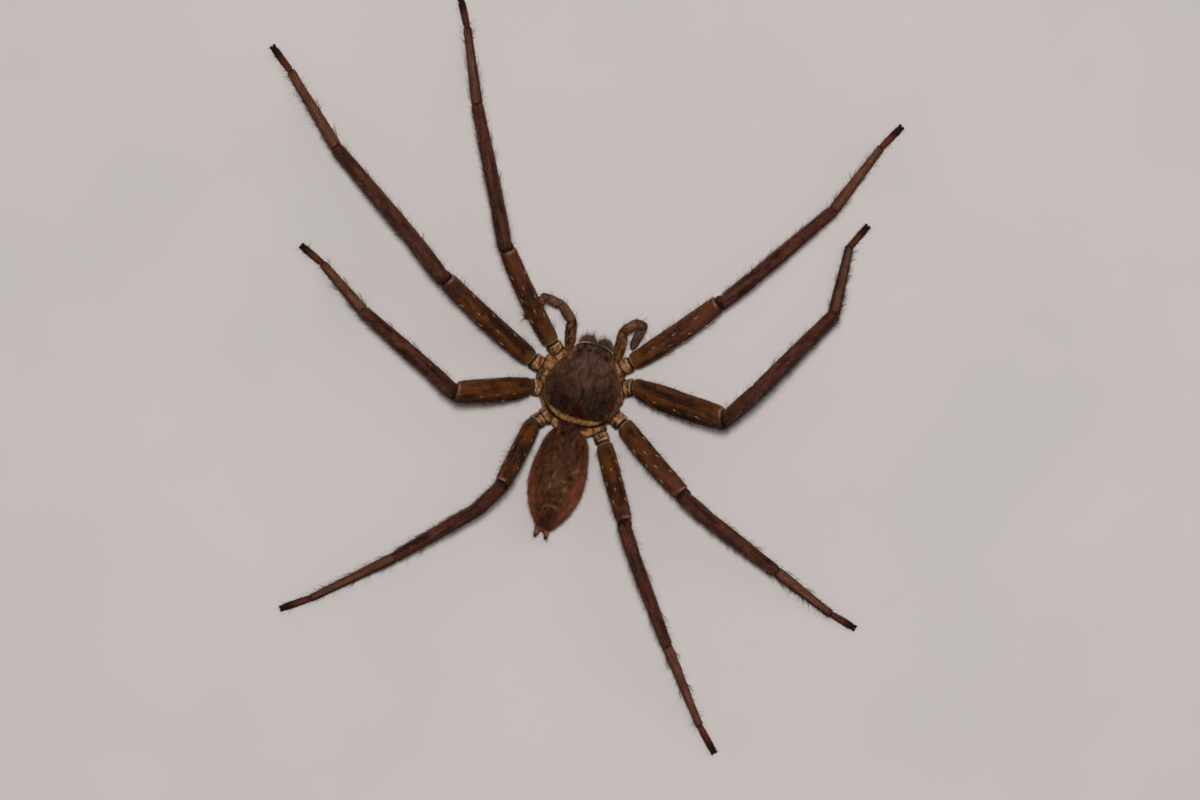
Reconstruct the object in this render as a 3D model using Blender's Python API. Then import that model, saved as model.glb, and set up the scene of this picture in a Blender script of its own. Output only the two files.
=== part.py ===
"""Huntsman spider: a still, life-size model that rests on its eight feet.

Sizes are in millimetres, and each mesh is turned to metres as it is made. The world has +X to the
right of a viewer who looks straight down and +Y away from that viewer, and the floor is z = 0. The
body frame has x to the spider's right, y ahead of it and its origin under the middle of its back.
"""

import math
import random
from collections import namedtuple

import bmesh
import bpy
from mathutils import Matrix, Vector

# The unit and the clearances between pieces that touch
MM = 0.001
GAP = 0.3
EYE_GAP = 0.12

# Where the body stands and how far its head is turned clockwise from +Y
BODY_AT = Vector((-0.286, -1.006, 0.0))
BODY_TURN = math.radians(-16.5)
BODY = Matrix.Translation(BODY_AT) @ Matrix.Rotation(BODY_TURN, 4, "Z")

# Faces around the round pieces
LEG_SIDES = 12
FOOT_SIDES = 8
PAD_SIDES = 6
PALP_SIDES = 10
SPINE_SIDES = 5
BODY_SIDES = 24

# Sections of the back shield, front to rear: y, half width, top, height of the rim, underside
CARAPACE = (
    (5.05, 0.00, 4.35, 4.35, 4.35),
    (5.00, 1.10, 4.85, 4.10, 3.60),
    (4.75, 1.85, 5.10, 3.95, 3.40),
    (4.40, 2.35, 5.30, 3.85, 3.30),
    (3.80, 2.60, 5.60, 3.80, 3.30),
    (3.00, 3.10, 5.85, 3.75, 3.30),
    (1.90, 3.75, 6.00, 3.70, 3.35),
    (0.60, 4.35, 6.10, 3.70, 3.35),
    (-0.90, 4.68, 6.15, 3.70, 3.35),
    (-2.30, 4.55, 6.00, 3.70, 3.35),
    (-3.40, 4.00, 5.60, 3.70, 3.35),
    (-4.20, 3.30, 5.00, 3.70, 3.35),
    (-4.75, 2.40, 4.45, 3.70, 3.40),
    (-5.03, 1.30, 4.05, 3.72, 3.50),
    (-5.10, 0.00, 3.75, 3.75, 3.75),
)
CARAPACE_RINGS = 17

# The core that carries the shield down to the breast plate: half width, half length, y, bottom, top
CORE = (1.70, 2.20, -0.80, 2.25, 4.20)

# The groove in the middle of the back: centre y, half width, half length, half depth
FOVEA = (-1.25, 0.16, 0.85, 0.30)

# Sections of the breast plate, front to rear
STERNUM = (
    (1.50, 0.00, 1.72, 1.72, 1.72),
    (1.30, 0.95, 1.92, 1.75, 1.55),
    (0.90, 1.50, 1.95, 1.75, 1.48),
    (0.20, 1.85, 1.95, 1.75, 1.45),
    (-0.70, 1.88, 1.95, 1.75, 1.45),
    (-1.60, 1.60, 1.95, 1.75, 1.48),
    (-2.40, 1.05, 1.95, 1.75, 1.52),
    (-2.90, 0.50, 1.90, 1.75, 1.60),
    (-3.05, 0.00, 1.75, 1.75, 1.75),
)
STERNUM_RINGS = 10
STERNUM_SIDES = 14
# The lip plate ahead of the breast plate: y, half width, half length, z, half height
LABIUM = (1.75, 0.45, 0.65, 1.75, 0.28)

# Sections of the abdomen along its own axis, measured back from its front end
ABDOMEN = (
    (0.00, 0.00, 3.70, 3.70, 3.70),
    (0.15, 1.20, 4.50, 3.70, 2.90),
    (0.60, 1.90, 5.00, 3.70, 2.40),
    (1.80, 2.68, 5.60, 3.70, 1.80),
    (3.60, 3.10, 6.00, 3.70, 1.45),
    (5.40, 3.38, 6.20, 3.65, 1.30),
    (6.90, 3.40, 6.20, 3.60, 1.30),
    (8.30, 3.20, 6.00, 3.50, 1.35),
    (9.80, 2.74, 5.50, 3.40, 1.55),
    (10.90, 2.15, 4.90, 3.30, 1.80),
    (11.90, 1.50, 4.20, 3.20, 2.20),
    (12.60, 0.80, 3.60, 3.10, 2.60),
    (12.90, 0.00, 3.10, 3.10, 3.10),
)
ABDOMEN_RINGS = 17
ABDOMEN_FRONT = Vector((-0.16, -5.30, 0.0))
ABDOMEN_REAR = Vector((0.30, -18.20, 0.0))
# The stalk that joins it to the shield: radius, height, and how far it reaches ahead and behind
PEDICEL = (0.55, 3.75, 1.2, 0.8)

# The spinnerets: half spread, height, start and end along the abdomen's axis, widths at both ends
SPINNERETS = ((0.66, 3.15, 12.3, 13.75, 0.78, 0.56), (0.36, 2.50, 12.3, 13.10, 0.62, 0.50))
SPINNERET_SIDE = -0.25
# The mound's place along that axis and height, and its half width, length and height
SPINNERET_MOUND_AT = (12.35, 2.90)
SPINNERET_MOUND = (0.95, 0.60, 0.75)

# The eyes of the right side: name, x, y, radius; each sinks this share of its radius
EYES = (
    ("anterior_median", 0.42, 4.80, 0.20),
    ("anterior_lateral", 1.20, 4.55, 0.32),
    ("posterior_median", 0.50, 4.05, 0.24),
    ("posterior_lateral", 1.72, 3.70, 0.31),
)
EYE_SINK = 0.25

# A jaw of the right side from its root to its end: x, y, z, width, depth
CHELICERA = (
    (1.10, 4.20, 4.05, 1.55, 1.50),
    (1.13, 4.70, 3.45, 1.85, 1.95),
    (1.13, 4.92, 2.70, 1.88, 2.00),
    (1.10, 4.98, 1.95, 1.75, 1.75),
    (1.06, 4.95, 1.30, 1.45, 1.30),
)
FANG = (
    (1.32, 5.10, 1.00, 0.62, 0.62),
    (1.28, 5.12, 0.78, 0.60, 0.60),
    (1.02, 5.02, 0.58, 0.55, 0.50),
    (0.66, 4.80, 0.50, 0.40, 0.38),
    (0.36, 4.52, 0.52, 0.14, 0.14),
)

# The feelers: joints in the body frame from the root to the tip of the last segment
PALP_JOINTS = {
    "l": ((-0.95, 2.00, 2.25), (-2.20, 3.10, 2.45), (-3.00, 3.75, 2.60), (-3.63, 6.94, 4.20),
          (-5.26, 8.34, 4.00), (-7.48, 8.68, 2.90), (-9.16, 5.57, 1.30)),
    "r": ((0.95, 2.00, 2.25), (2.10, 3.20, 2.45), (2.85, 3.95, 2.60), (2.69, 7.42, 4.40),
          (3.79, 8.69, 4.90), (4.75, 8.70, 3.10), (4.19, 5.68, 0.90)),
}
# Their thickness, as share of a segment's length and width, for coxa, trochanter, femur and so on
PALP_SECTIONS = (
    ((0.00, 1.00), (0.50, 1.20), (1.00, 1.15)),
    ((0.50, 1.20), (1.00, 1.00)),
    ((0.12, 1.20), (0.40, 1.45), (0.75, 1.40), (1.00, 1.15)),
    ((0.25, 1.30), (0.70, 1.30), (1.00, 1.10)),
    ((0.25, 1.25), (0.70, 1.25), (1.00, 1.10)),
)
PALP_TARSUS = ((0.00, 1.05), (0.25, 1.20), (0.60, 1.15), (0.85, 0.85), (0.97, 0.50))
# The inner lobe of a feeler's root, which flanks the mouth: x, y, z, width, depth
MAXILLA = (
    (1.15, 2.10, 2.15, 1.00, 0.80),
    (1.10, 2.80, 2.00, 1.05, 0.75),
    (0.95, 3.45, 1.85, 0.70, 0.55),
)

# Lengths of femur, patella, tibia, metatarsus and tarsus of the four pairs of legs
LENGTHS = {
    1: (12.9, 5.1, 12.9, 10.6, 3.3),
    2: (13.7, 5.6, 14.3, 11.2, 3.3),
    3: (11.3, 4.3, 11.1, 9.0, 3.1),
    4: (10.6, 4.4, 12.0, 12.0, 3.5),
}
# How thick the legs of each pair are against the first
STOUTNESS = {1: 0.98, 2: 1.06, 3: 1.02, 4: 0.93}

# Heights of the joints that are the same on every leg
COXA_ROOT_Z = 2.30
COXA_END_Z = 2.85
FEMUR_BASE_Z = 3.20
ANKLE_Z = 0.60
TARSUS_TIP_Z = 0.42
TROCHANTER = 1.35

# Where the coxae leave the core, on the right side
COXA_ROOTS = {1: (1.40, 0.80), 2: (2.00, -0.35), 3: (1.95, -1.60), 4: (1.25, -2.65)}

# Each leg: its pair, its size against the pair's mean, the femur's base in the body frame, the five
# segments' headings in the world (degrees from +X), the slopes of the first three, the femur's roll
Leg = namedtuple("Leg", "pair size base headings slopes roll")
LEGS = {
    "l1": Leg(1, 1.00, (-5.22, 3.71), (115.3, 102.3, 101.7, 97.8, 102.3), (20.0, 6.0, -14.0), 0),
    "l2": Leg(2, 1.05, (-6.94, 1.15), (137.0, 129.2, 130.0, 121.5, 126.1), (18.0, 3.0, -12.0), 0),
    "l3": Leg(3, 1.01, (-6.20, -1.99), (-175.2, 139.0, 139.0, 131.4, 139.9), (40.0, -28.0, -16.0), 70),
    "l4": Leg(4, 1.02, (-4.58, -6.18), (-116.6, -134.0, -149.9, -153.8, -160.7), (43.0, -15.0, -23.0), 0),
    "r1": Leg(1, 1.00, (4.70, 4.10), (34.3, 36.3, 40.2, 52.3, 45.5), (15.0, 13.0, -13.0), 30),
    "r2": Leg(2, 0.955, (5.85, 1.45), (-19.7, 40.8, 44.6, 75.0, 48.9), (31.0, 20.0, -20.0), 80),
    "r3": Leg(3, 0.99, (5.79, -3.24), (-49.5, -44.6, -37.9, -37.9, -30.6), (16.0, 8.0, -19.0), 0),
    "r4": Leg(4, 0.98, (4.24, -6.10), (-75.1, -75.6, -69.7, -68.0, -61.6), (24.0, 13.0, -14.0), 0),
}

# Sections of the leg segments: share of the length, width, depth
COXA = ((0.00, 1.10, 1.50), (0.30, 1.60, 1.85), (0.70, 2.10, 2.10), (0.94, 2.10, 2.10), (1.00, 1.80, 1.85))
TROCHANTER_RINGS = ((0.22, 1.95, 2.05), (0.80, 1.98, 2.10), (1.00, 1.70, 1.85))
FEMUR = ((0.03, 2.05, 2.30), (0.15, 2.35, 2.80), (0.40, 2.42, 3.05), (0.68, 2.35, 3.05),
         (0.88, 2.22, 2.85), (1.00, 2.10, 2.60))
PATELLA = ((0.00, 1.80, 2.10), (0.25, 1.88, 2.20), (0.72, 1.88, 2.10), (1.00, 1.78, 1.90))
TIBIA = ((0.00, 1.68, 1.80), (0.15, 1.78, 1.95), (0.50, 1.72, 1.85), (0.85, 1.55, 1.65), (1.00, 1.45, 1.50))
METATARSUS = ((0.00, 1.35, 1.40), (0.12, 1.42, 1.45), (0.50, 1.22, 1.25), (0.88, 1.05, 1.05), (1.00, 0.98, 0.98))
TARSUS = ((0.00, 0.90, 0.90), (0.20, 0.98, 1.00), (0.60, 0.98, 1.00), (0.86, 0.92, 0.95), (1.00, 0.66, 0.75))
FEMUR_BOW = {1: -0.20, 2: -0.20, 3: -0.18, 4: -0.05}

# The claw tuft: two pads that fork from the tarsus: length, width, spread in degrees
PADS = (1.05, 0.56, 17.0)

# Spines: share of the length, angle from the top towards the spider's front, length
FEMUR_SPINES = ((0.28, 50, 1.5), (0.50, 46, 1.6), (0.74, 52, 1.6), (0.30, -48, 1.5), (0.52, -52, 1.6),
                (0.76, -46, 1.6), (0.40, 2, 1.3), (0.63, -3, 1.3))
TIBIA_SPINES = ((0.22, 78, 1.5), (0.62, 76, 1.5), (0.26, -78, 1.5), (0.66, -76, 1.5),
                (0.16, 152, 1.9), (0.48, 150, 1.9), (0.18, -152, 1.9), (0.50, -150, 1.9))
METATARSUS_SPINES = ((0.10, 84, 1.6), (0.48, 82, 1.5), (0.12, -84, 1.6), (0.50, -82, 1.5))
SPINE_WIDTH = 0.52
SPINE_TIP = 0.06
SPINE_LEAN = 21.0
SPINE_ROOT = 0.50
SPINE_SEED = 11

# Colours as red, green, blue, with roughness
OLIVE_BROWN = (0.076, 0.042, 0.018, 0.62)
RED_BROWN = (0.070, 0.025, 0.014, 0.60)
DARK_BROWN = (0.052, 0.030, 0.020, 0.70)
RUSSET = (0.095, 0.040, 0.022, 0.75)
TAN = (0.270, 0.140, 0.050, 0.60)
BLACK = (0.010, 0.008, 0.008, 0.10)
CLAW_BLACK = (0.016, 0.010, 0.010, 0.30)


def clear_scene():
    for old in list(bpy.data.objects):
        bpy.data.objects.remove(old, do_unlink=True)


def make_collection(name):
    collection = bpy.data.collections.new(name)
    bpy.context.scene.collection.children.link(collection)
    return collection


def make_material(name, colour):
    material = bpy.data.materials.new(name)
    material.use_nodes = True
    shader = material.node_tree.nodes["Principled BSDF"]
    red, green, blue, roughness = colour
    shader.inputs["Base Color"].default_value = (red, green, blue, 1.0)
    shader.inputs["Roughness"].default_value = roughness
    shader.inputs["Metallic"].default_value = 0.0
    return material


def blend(rows, share):
    """Read a table of sections at a share of its length, on a smooth curve through its rows."""
    place = min(max(share, 0.0), 1.0) * (len(rows) - 1)
    first = min(int(place), len(rows) - 2)
    t = place - first
    near = [rows[min(max(first + step, 0), len(rows) - 1)] for step in (-1, 0, 1, 2)]
    values = []
    for before, start, end, after in zip(*near):
        rise = (end - before) / 2
        fall = (after - start) / 2
        turn = 2 * (start - end) + rise + fall
        bend = 3 * (end - start) - 2 * rise - fall
        values.append(((turn * t + bend) * t + rise) * t + start)
    return values


def soft_form(sections, sides, rings):
    """A ball whose rings take the half width, top, rim and underside of a table of sections."""
    bm = bmesh.new()
    bmesh.ops.create_uvsphere(bm, u_segments=sides, v_segments=rings, radius=1.0)
    for vert in bm.verts:
        across, up, along = vert.co.x, vert.co.y, vert.co.z
        ring = math.hypot(across, up)
        share = math.acos(max(-1.0, min(1.0, along))) / math.pi
        y, half_width, top, rim, low = blend(sections, share)
        if ring > 0:
            across /= ring
            up /= ring
        reach = top - rim if up > 0 else rim - low
        vert.co = Vector((half_width * across, y, rim + reach * up))
    bmesh.ops.recalc_face_normals(bm, faces=bm.faces)
    return bm


def ellipsoid(bm, at, radii, sides=12, rings=8):
    matrix = Matrix.Translation(Vector(at)) @ Matrix.Diagonal((*radii, 1.0))
    bmesh.ops.create_uvsphere(bm, u_segments=sides, v_segments=rings, radius=1.0, matrix=matrix)
    return bm


def section_frame(at, ahead, width, depth, roll=0.0):
    """The matrix that sets a unit circle across a limb, its x level and its y upright."""
    side = Vector((0, 0, 1)).cross(ahead)
    if side.length < 0.02:
        side = Vector((1, 0, 0))
    side.normalize()
    up = ahead.cross(side).normalized()
    turn = Matrix.Rotation(roll, 3, ahead)
    frame = Matrix((turn @ side * width / 2, turn @ up * depth / 2, ahead)).transposed().to_4x4()
    frame.translation = at
    return frame


def loft(frames, sides):
    """Extrude a capped circle from one section frame to the next."""
    bm = bmesh.new()
    bmesh.ops.create_circle(bm, cap_ends=True, segments=sides, radius=1.0, matrix=frames[0])
    bm.faces.ensure_lookup_table()
    cap = bm.faces[0]
    rings = [list(cap.verts)]
    for before, after in zip(frames, frames[1:]):
        grown = bmesh.ops.extrude_face_region(bm, geom=[cap])["geom"]
        if len(rings) > 1:
            bmesh.ops.delete(bm, geom=[cap], context="FACES_ONLY")
        cap = next(item for item in grown if isinstance(item, bmesh.types.BMFace))
        bmesh.ops.transform(bm, matrix=after @ before.inverted(), verts=cap.verts)
        rings.append(list(cap.verts))
    bmesh.ops.recalc_face_normals(bm, faces=bm.faces)
    return bm, rings


def slide_to_plane(verts, along, point, normal):
    """Slide a ring along its limb on to a joint's plane."""
    for vert in verts:
        vert.co += along * ((point - vert.co).dot(normal) / along.dot(normal))


def add_part(name, bm, material, collection, frame=None):
    """Make the mesh an object in metres whose origin and turn are the frame's."""
    place = frame if frame is not None else Matrix.Identity(4)
    bmesh.ops.transform(bm, matrix=place.inverted(), verts=bm.verts)
    bmesh.ops.scale(bm, vec=(MM, MM, MM), verts=bm.verts)
    mesh = bpy.data.meshes.new(name)
    bm.to_mesh(mesh)
    bm.free()
    mesh.shade_smooth()
    mesh.set_sharp_from_angle(angle=math.radians(50))
    mesh.materials.append(material)
    part = bpy.data.objects.new(name, mesh)
    in_metres = place.copy()
    in_metres.translation = place.translation * MM
    part.matrix_world = in_metres
    collection.objects.link(part)
    return part


def keep_largest(part):
    """Keep only the largest closed surface of a part."""
    bm = bmesh.new()
    bm.from_mesh(part.data)
    unseen = set(bm.verts)
    shells = []
    while unseen:
        edge_of = [unseen.pop()]
        shell = set(edge_of)
        while edge_of:
            vert = edge_of.pop()
            for edge in vert.link_edges:
                other = edge.other_vert(vert)
                if other in unseen:
                    unseen.discard(other)
                    shell.add(other)
                    edge_of.append(other)
        shells.append(shell)
    shells.sort(key=len)
    for shell in shells[:-1]:
        bmesh.ops.delete(bm, geom=list(shell), context="VERTS")
    bm.to_mesh(part.data)
    bm.free()


def apply_boolean(part, operation, others):
    """Join a part to, or cut it by, a collection of closed meshes, which are then removed."""
    pool = bpy.data.collections.new(part.name + "_pool")
    bpy.context.scene.collection.children.link(pool)
    for other in others:
        for holder in list(other.users_collection):
            holder.objects.unlink(other)
        pool.objects.link(other)
    modifier = part.modifiers.new(operation.lower(), "BOOLEAN")
    modifier.operation = operation
    modifier.solver = "EXACT"
    modifier.operand_type = "COLLECTION"
    modifier.collection = pool
    bpy.context.view_layer.update()
    depsgraph = bpy.context.evaluated_depsgraph_get()
    mesh = bpy.data.meshes.new_from_object(part.evaluated_get(depsgraph))
    part.modifiers.clear()
    plain = part.data
    part.data = mesh
    bpy.data.meshes.remove(plain)
    mesh.name = part.name
    for other in others:
        bpy.data.objects.remove(other, do_unlink=True)
    bpy.data.collections.remove(pool)
    keep_largest(part)


def outline_of(part, cutters):
    """A plain copy of a part as it is now, kept to cut its neighbours clear of it."""
    copy = bpy.data.objects.new(part.name + "_outline", part.data.copy())
    copy.matrix_world = part.matrix_world
    copy.hide_render = True
    copy.display_type = "WIRE"
    cutters.objects.link(copy)
    return copy


def grown_copy(part, gap, cutters):
    """A copy of an outline whose surface lies a gap outside it."""
    bm = bmesh.new()
    bm.from_mesh(part.data)
    bm.normal_update()
    moves = [vert.normal * gap * MM * vert.calc_shell_factor() for vert in bm.verts]
    for vert, move in zip(bm.verts, moves):
        vert.co += move
    mesh = bpy.data.meshes.new(part.name + "_grown")
    bm.to_mesh(mesh)
    bm.free()
    copy = bpy.data.objects.new(part.name + "_grown", mesh)
    copy.matrix_world = part.matrix_world
    copy.hide_render = True
    copy.display_type = "WIRE"
    cutters.objects.link(copy)
    return copy


def clear_of(part, outlines, cutters):
    """Cut a part so that it stays a gap away from each outline."""
    for outline in outlines:
        apply_boolean(part, "DIFFERENCE", [grown_copy(outline, GAP, cutters)])


def carapace_height(x, y):
    """The height of the shield's top above a point of the body frame."""
    low, high = 0.0, 1.0
    for _ in range(40):
        share = (low + high) / 2
        if blend(CARAPACE, share)[0] > y:
            low = share
        else:
            high = share
    _, half_width, top, rim, _ = blend(CARAPACE, share)
    return rim + (top - rim) * math.sqrt(max(0.0, 1 - (x / half_width) ** 2))


def carapace_normal(x, y):
    step = 0.05
    slope_x = (carapace_height(x + step, y) - carapace_height(x - step, y)) / (2 * step)
    slope_y = (carapace_height(x, y + step) - carapace_height(x, y - step)) / (2 * step)
    return Vector((-slope_x, -slope_y, 1)).normalized()


def eye_place(x, y, radius):
    surface = Vector((x, y, carapace_height(x, y)))
    return surface - carapace_normal(x, y) * radius * EYE_SINK


def make_carapace(material, parts, cutters):
    """The back shield, with the core below it, the groove on top and a socket for each eye."""
    shield = add_part("carapace", soft_form(CARAPACE, BODY_SIDES, CARAPACE_RINGS), material, parts)
    half_width, half_length, y, bottom, top = CORE
    bm = bmesh.new()
    matrix = Matrix.Translation((0, y, (bottom + top) / 2)) @ Matrix.Diagonal((half_width, half_length, 1, 1))
    bmesh.ops.create_cone(bm, cap_ends=True, segments=BODY_SIDES, radius1=1.0, radius2=1.0,
                          depth=top - bottom, matrix=matrix)
    core = add_part("core", bm, material, cutters)
    apply_boolean(shield, "UNION", [core])
    outline = outline_of(shield, cutters)
    y, half_width, half_length, half_depth = FOVEA
    groove_at = (0, y, carapace_height(0, y) + half_depth * 0.15)
    bm = ellipsoid(bmesh.new(), groove_at, (half_width, half_length, half_depth), sides=8, rings=6)
    cuts = [add_part("groove", bm, material, cutters)]
    for name, x, y, radius in EYES:
        for side in (-1, 1):
            bm = bmesh.new()
            at = eye_place(side * x, y, radius)
            bmesh.ops.create_icosphere(bm, subdivisions=2, radius=radius + EYE_GAP,
                                       matrix=Matrix.Translation(at))
            cuts.append(add_part("socket", bm, material, cutters))
    apply_boolean(shield, "DIFFERENCE", cuts)
    return shield, outline


def make_eyes(material, parts):
    eyes = []
    for name, x, y, radius in EYES:
        for side, letter in ((-1, "l"), (1, "r")):
            bm = bmesh.new()
            bmesh.ops.create_icosphere(bm, subdivisions=2, radius=radius)
            at = eye_place(side * x, y, radius)
            bmesh.ops.translate(bm, vec=at, verts=bm.verts)
            eyes.append(add_part("eye_" + name + "_" + letter, bm, material, parts, Matrix.Translation(at)))
    return eyes


def make_sternum(material, parts, cutters, shield):
    plate = add_part("sternum", soft_form(STERNUM, STERNUM_SIDES, STERNUM_RINGS), material, parts)
    y, half_width, half_length, z, half_height = LABIUM
    bm = ellipsoid(bmesh.new(), (0, y, z), (half_width, half_length, half_height))
    apply_boolean(plate, "UNION", [add_part("labium", bm, material, cutters)])
    clear_of(plate, [shield], cutters)
    return plate


def abdomen_frame():
    """The abdomen's own axis: its y runs forward and its origin is at its front end."""
    back = ABDOMEN_REAR - ABDOMEN_FRONT
    turn = math.atan2(back.x, -back.y)
    return Matrix.Translation(ABDOMEN_FRONT) @ Matrix.Rotation(turn, 4, "Z")


def make_abdomen(material, parts, cutters, shield):
    sections = [(-back, *rest) for back, *rest in ABDOMEN]
    bm = soft_form(sections, BODY_SIDES, ABDOMEN_RINGS)
    frame = abdomen_frame()
    bmesh.ops.transform(bm, matrix=frame, verts=bm.verts)
    abdomen = add_part("abdomen", bm, material, parts, frame)
    radius, z, ahead, behind = PEDICEL
    middle = Vector((0, (ahead - behind) / 2, z))
    matrix = frame @ Matrix.Translation(middle) @ Matrix.Rotation(math.pi / 2, 4, "X")
    bm = bmesh.new()
    bmesh.ops.create_cone(bm, cap_ends=True, segments=LEG_SIDES, radius1=radius, radius2=radius,
                          depth=ahead + behind, matrix=matrix)
    apply_boolean(abdomen, "UNION", [add_part("pedicel", bm, material, cutters)])
    clear_of(abdomen, [shield], cutters)
    return abdomen


def make_spinnerets(material, parts, cutters, abdomen):
    """Four short tubes on one low mound that is let into the abdomen's end."""
    frame = abdomen_frame()
    back, z = SPINNERET_MOUND_AT
    bm = ellipsoid(bmesh.new(), (SPINNERET_SIDE, -back, z), SPINNERET_MOUND)
    bmesh.ops.transform(bm, matrix=frame, verts=bm.verts)
    mound = add_part("spinnerets", bm, material, parts, frame)
    tubes = []
    for spread, height, start, end, wide, narrow in SPINNERETS:
        for side in (-1, 1):
            root = frame @ Vector((SPINNERET_SIDE + side * spread * 0.75, -start, height))
            tip = frame @ Vector((SPINNERET_SIDE + side * spread, -end, height))
            ahead = (tip - root).normalized()
            shares = ((0.0, wide), (0.8, narrow * 1.1), (1.0, narrow * 0.7))
            frames = [section_frame(root.lerp(tip, share), ahead, width, width) for share, width in shares]
            bm, _ = loft(frames, PALP_SIDES)
            tubes.append(add_part("tube", bm, material, cutters))
    clear_of(abdomen, [mound, *tubes], cutters)
    apply_boolean(mound, "UNION", tubes)
    return mound


def bent_frames(rows):
    """Section frames along a bent row of x, y, z, width, depth."""
    points = [Vector(row[:3]) for row in rows]
    frames = []
    for index, (_, _, _, width, depth) in enumerate(rows):
        before = points[max(index - 1, 0)]
        after = points[min(index + 1, len(rows) - 1)]
        frames.append(section_frame(points[index], (after - before).normalized(), width, depth))
    return frames


def mirrored(rows, side):
    return [(side * row[0], *row[1:]) for row in rows]


def make_jaws(jaw_material, fang_material, parts, cutters, shield):
    jaws = []
    for side, letter in ((-1, "l"), (1, "r")):
        bm, _ = loft(bent_frames(mirrored(CHELICERA, side)), LEG_SIDES)
        jaw = add_part("chelicera_" + letter, bm, jaw_material, parts)
        clear_of(jaw, [shield], cutters)
        bm, _ = loft(bent_frames(mirrored(FANG, side)), PALP_SIDES)
        fang = add_part("fang_" + letter, bm, fang_material, parts)
        jaws += [jaw, fang]
    return jaws


def joint_frames(joints, section_table):
    """Section frames along a chain of joints, with wide sections where it bends."""
    frames = []
    for index, sections in enumerate(section_table):
        start, end = joints[index], joints[index + 1]
        ahead = (end - start).normalized()
        for share, width in sections:
            if share < 1 or index + 2 >= len(joints):
                frames.append(section_frame(start.lerp(end, share), ahead, width, width))
                continue
            onward = (joints[index + 2] - end).normalized()
            middle = (ahead + onward).normalized()
            frames.append(section_frame(end, middle, width, width))
    return frames


def make_palp(letter, material, parts, cutters, outlines):
    """A feeler from its root to the end of its tibia, and its last segment apart."""
    side = -1 if letter == "l" else 1
    joints = [Vector(joint) for joint in PALP_JOINTS[letter]]
    bm, rings = loft(joint_frames(joints[:-1], PALP_SECTIONS), PALP_SIDES)
    into = (joints[-2] - joints[-3]).normalized()
    out = (joints[-1] - joints[-2]).normalized()
    joint_plane = (into + out).normalized()
    slide_to_plane(rings[-1], into, joints[-2] - joint_plane * GAP / 2, joint_plane)
    palp = add_part("palp_" + letter, bm, material, parts)
    bm, _ = loft(bent_frames(mirrored(MAXILLA, side)), PALP_SIDES)
    apply_boolean(palp, "UNION", [add_part("maxilla", bm, material, cutters)])
    clear_of(palp, outlines, cutters)
    frames = [section_frame(joints[-2].lerp(joints[-1], share), out, width, width)
              for share, width in PALP_TARSUS]
    bm, rings = loft(frames, PALP_SIDES)
    slide_to_plane(rings[0], out, joints[-2] + joint_plane * GAP / 2, joint_plane)
    tarsus = add_part("palp_tarsus_" + letter, bm, material, parts)
    return palp, tarsus


def direction(heading, slope):
    level = math.cos(math.radians(slope))
    return Vector((level * math.cos(math.radians(heading)), level * math.sin(math.radians(heading)),
                   math.sin(math.radians(slope))))


def leg_joints(name):
    """The joints of a leg in the world, from the coxa's root to the tarsus's tip."""
    leg = LEGS[name]
    side = -1 if name[0] == "l" else 1
    lengths = [length * leg.size for length in LENGTHS[leg.pair]]
    root_x, root_y = COXA_ROOTS[leg.pair]
    root = BODY @ Vector((side * root_x, root_y, COXA_ROOT_Z))
    base = BODY @ Vector((*leg.base, FEMUR_BASE_Z))
    coxa_end = base + (root - base).normalized() * TROCHANTER
    coxa_end.z = COXA_END_Z
    joints = [root, coxa_end, base]
    for length, heading, slope in zip(lengths, leg.headings, leg.slopes):
        joints.append(joints[-1] + direction(heading, slope) * length)
    for length, heading, level in zip(lengths[3:], leg.headings[3:], (ANKLE_Z, TARSUS_TIP_Z)):
        slope = -math.degrees(math.asin((joints[-1].z - level) / length))
        joints.append(joints[-1] + direction(heading, slope) * length)
    return joints


def at_section(sections, share):
    """Width and depth of a leg segment at a share of its length."""
    for (first, *start), (last, *end) in zip(sections, sections[1:]):
        if share <= last:
            t = (share - first) / (last - first)
            return [a + (b - a) * t for a, b in zip(start, end)]
    return list(sections[-1][1:])


def spine_objects(segment, spines, draw, material, cutters):
    """Cones that lean towards the foot, with their roots sunk in a leg segment."""
    start, end, sections, stout, front, roll, bow = segment
    ahead = (end - start).normalized()
    cones = []
    for share, angle, length in spines:
        share += draw.uniform(-0.02, 0.02)
        angle += draw.uniform(-6, 6)
        length *= draw.uniform(0.88, 1.12)
        width, depth = at_section(sections, share)
        middle = start.lerp(end, share) + bow * 4 * share * (1 - share)
        frame = section_frame(middle, ahead, width * stout, depth * stout, roll)
        turn = math.radians(angle)
        around = Vector((front * math.sin(turn), math.cos(turn), 0))
        surface = frame @ around
        outward = (surface - middle).normalized()
        lean = math.radians(SPINE_LEAN)
        axis = (ahead * math.cos(lean) + outward * math.sin(lean)).normalized()
        root = surface - axis * SPINE_ROOT * 0.6 - outward * SPINE_ROOT * 0.5
        full = length + SPINE_ROOT
        matrix = Matrix.Translation(root + axis * full / 2) @ axis.to_track_quat("Z", "Y").to_matrix().to_4x4()
        bm = bmesh.new()
        bmesh.ops.create_cone(bm, cap_ends=True, segments=SPINE_SIDES, radius1=SPINE_WIDTH / 2,
                              radius2=SPINE_TIP / 2, depth=full, matrix=matrix)
        cones.append(add_part("spine", bm, material, cutters))
    return cones


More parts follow.
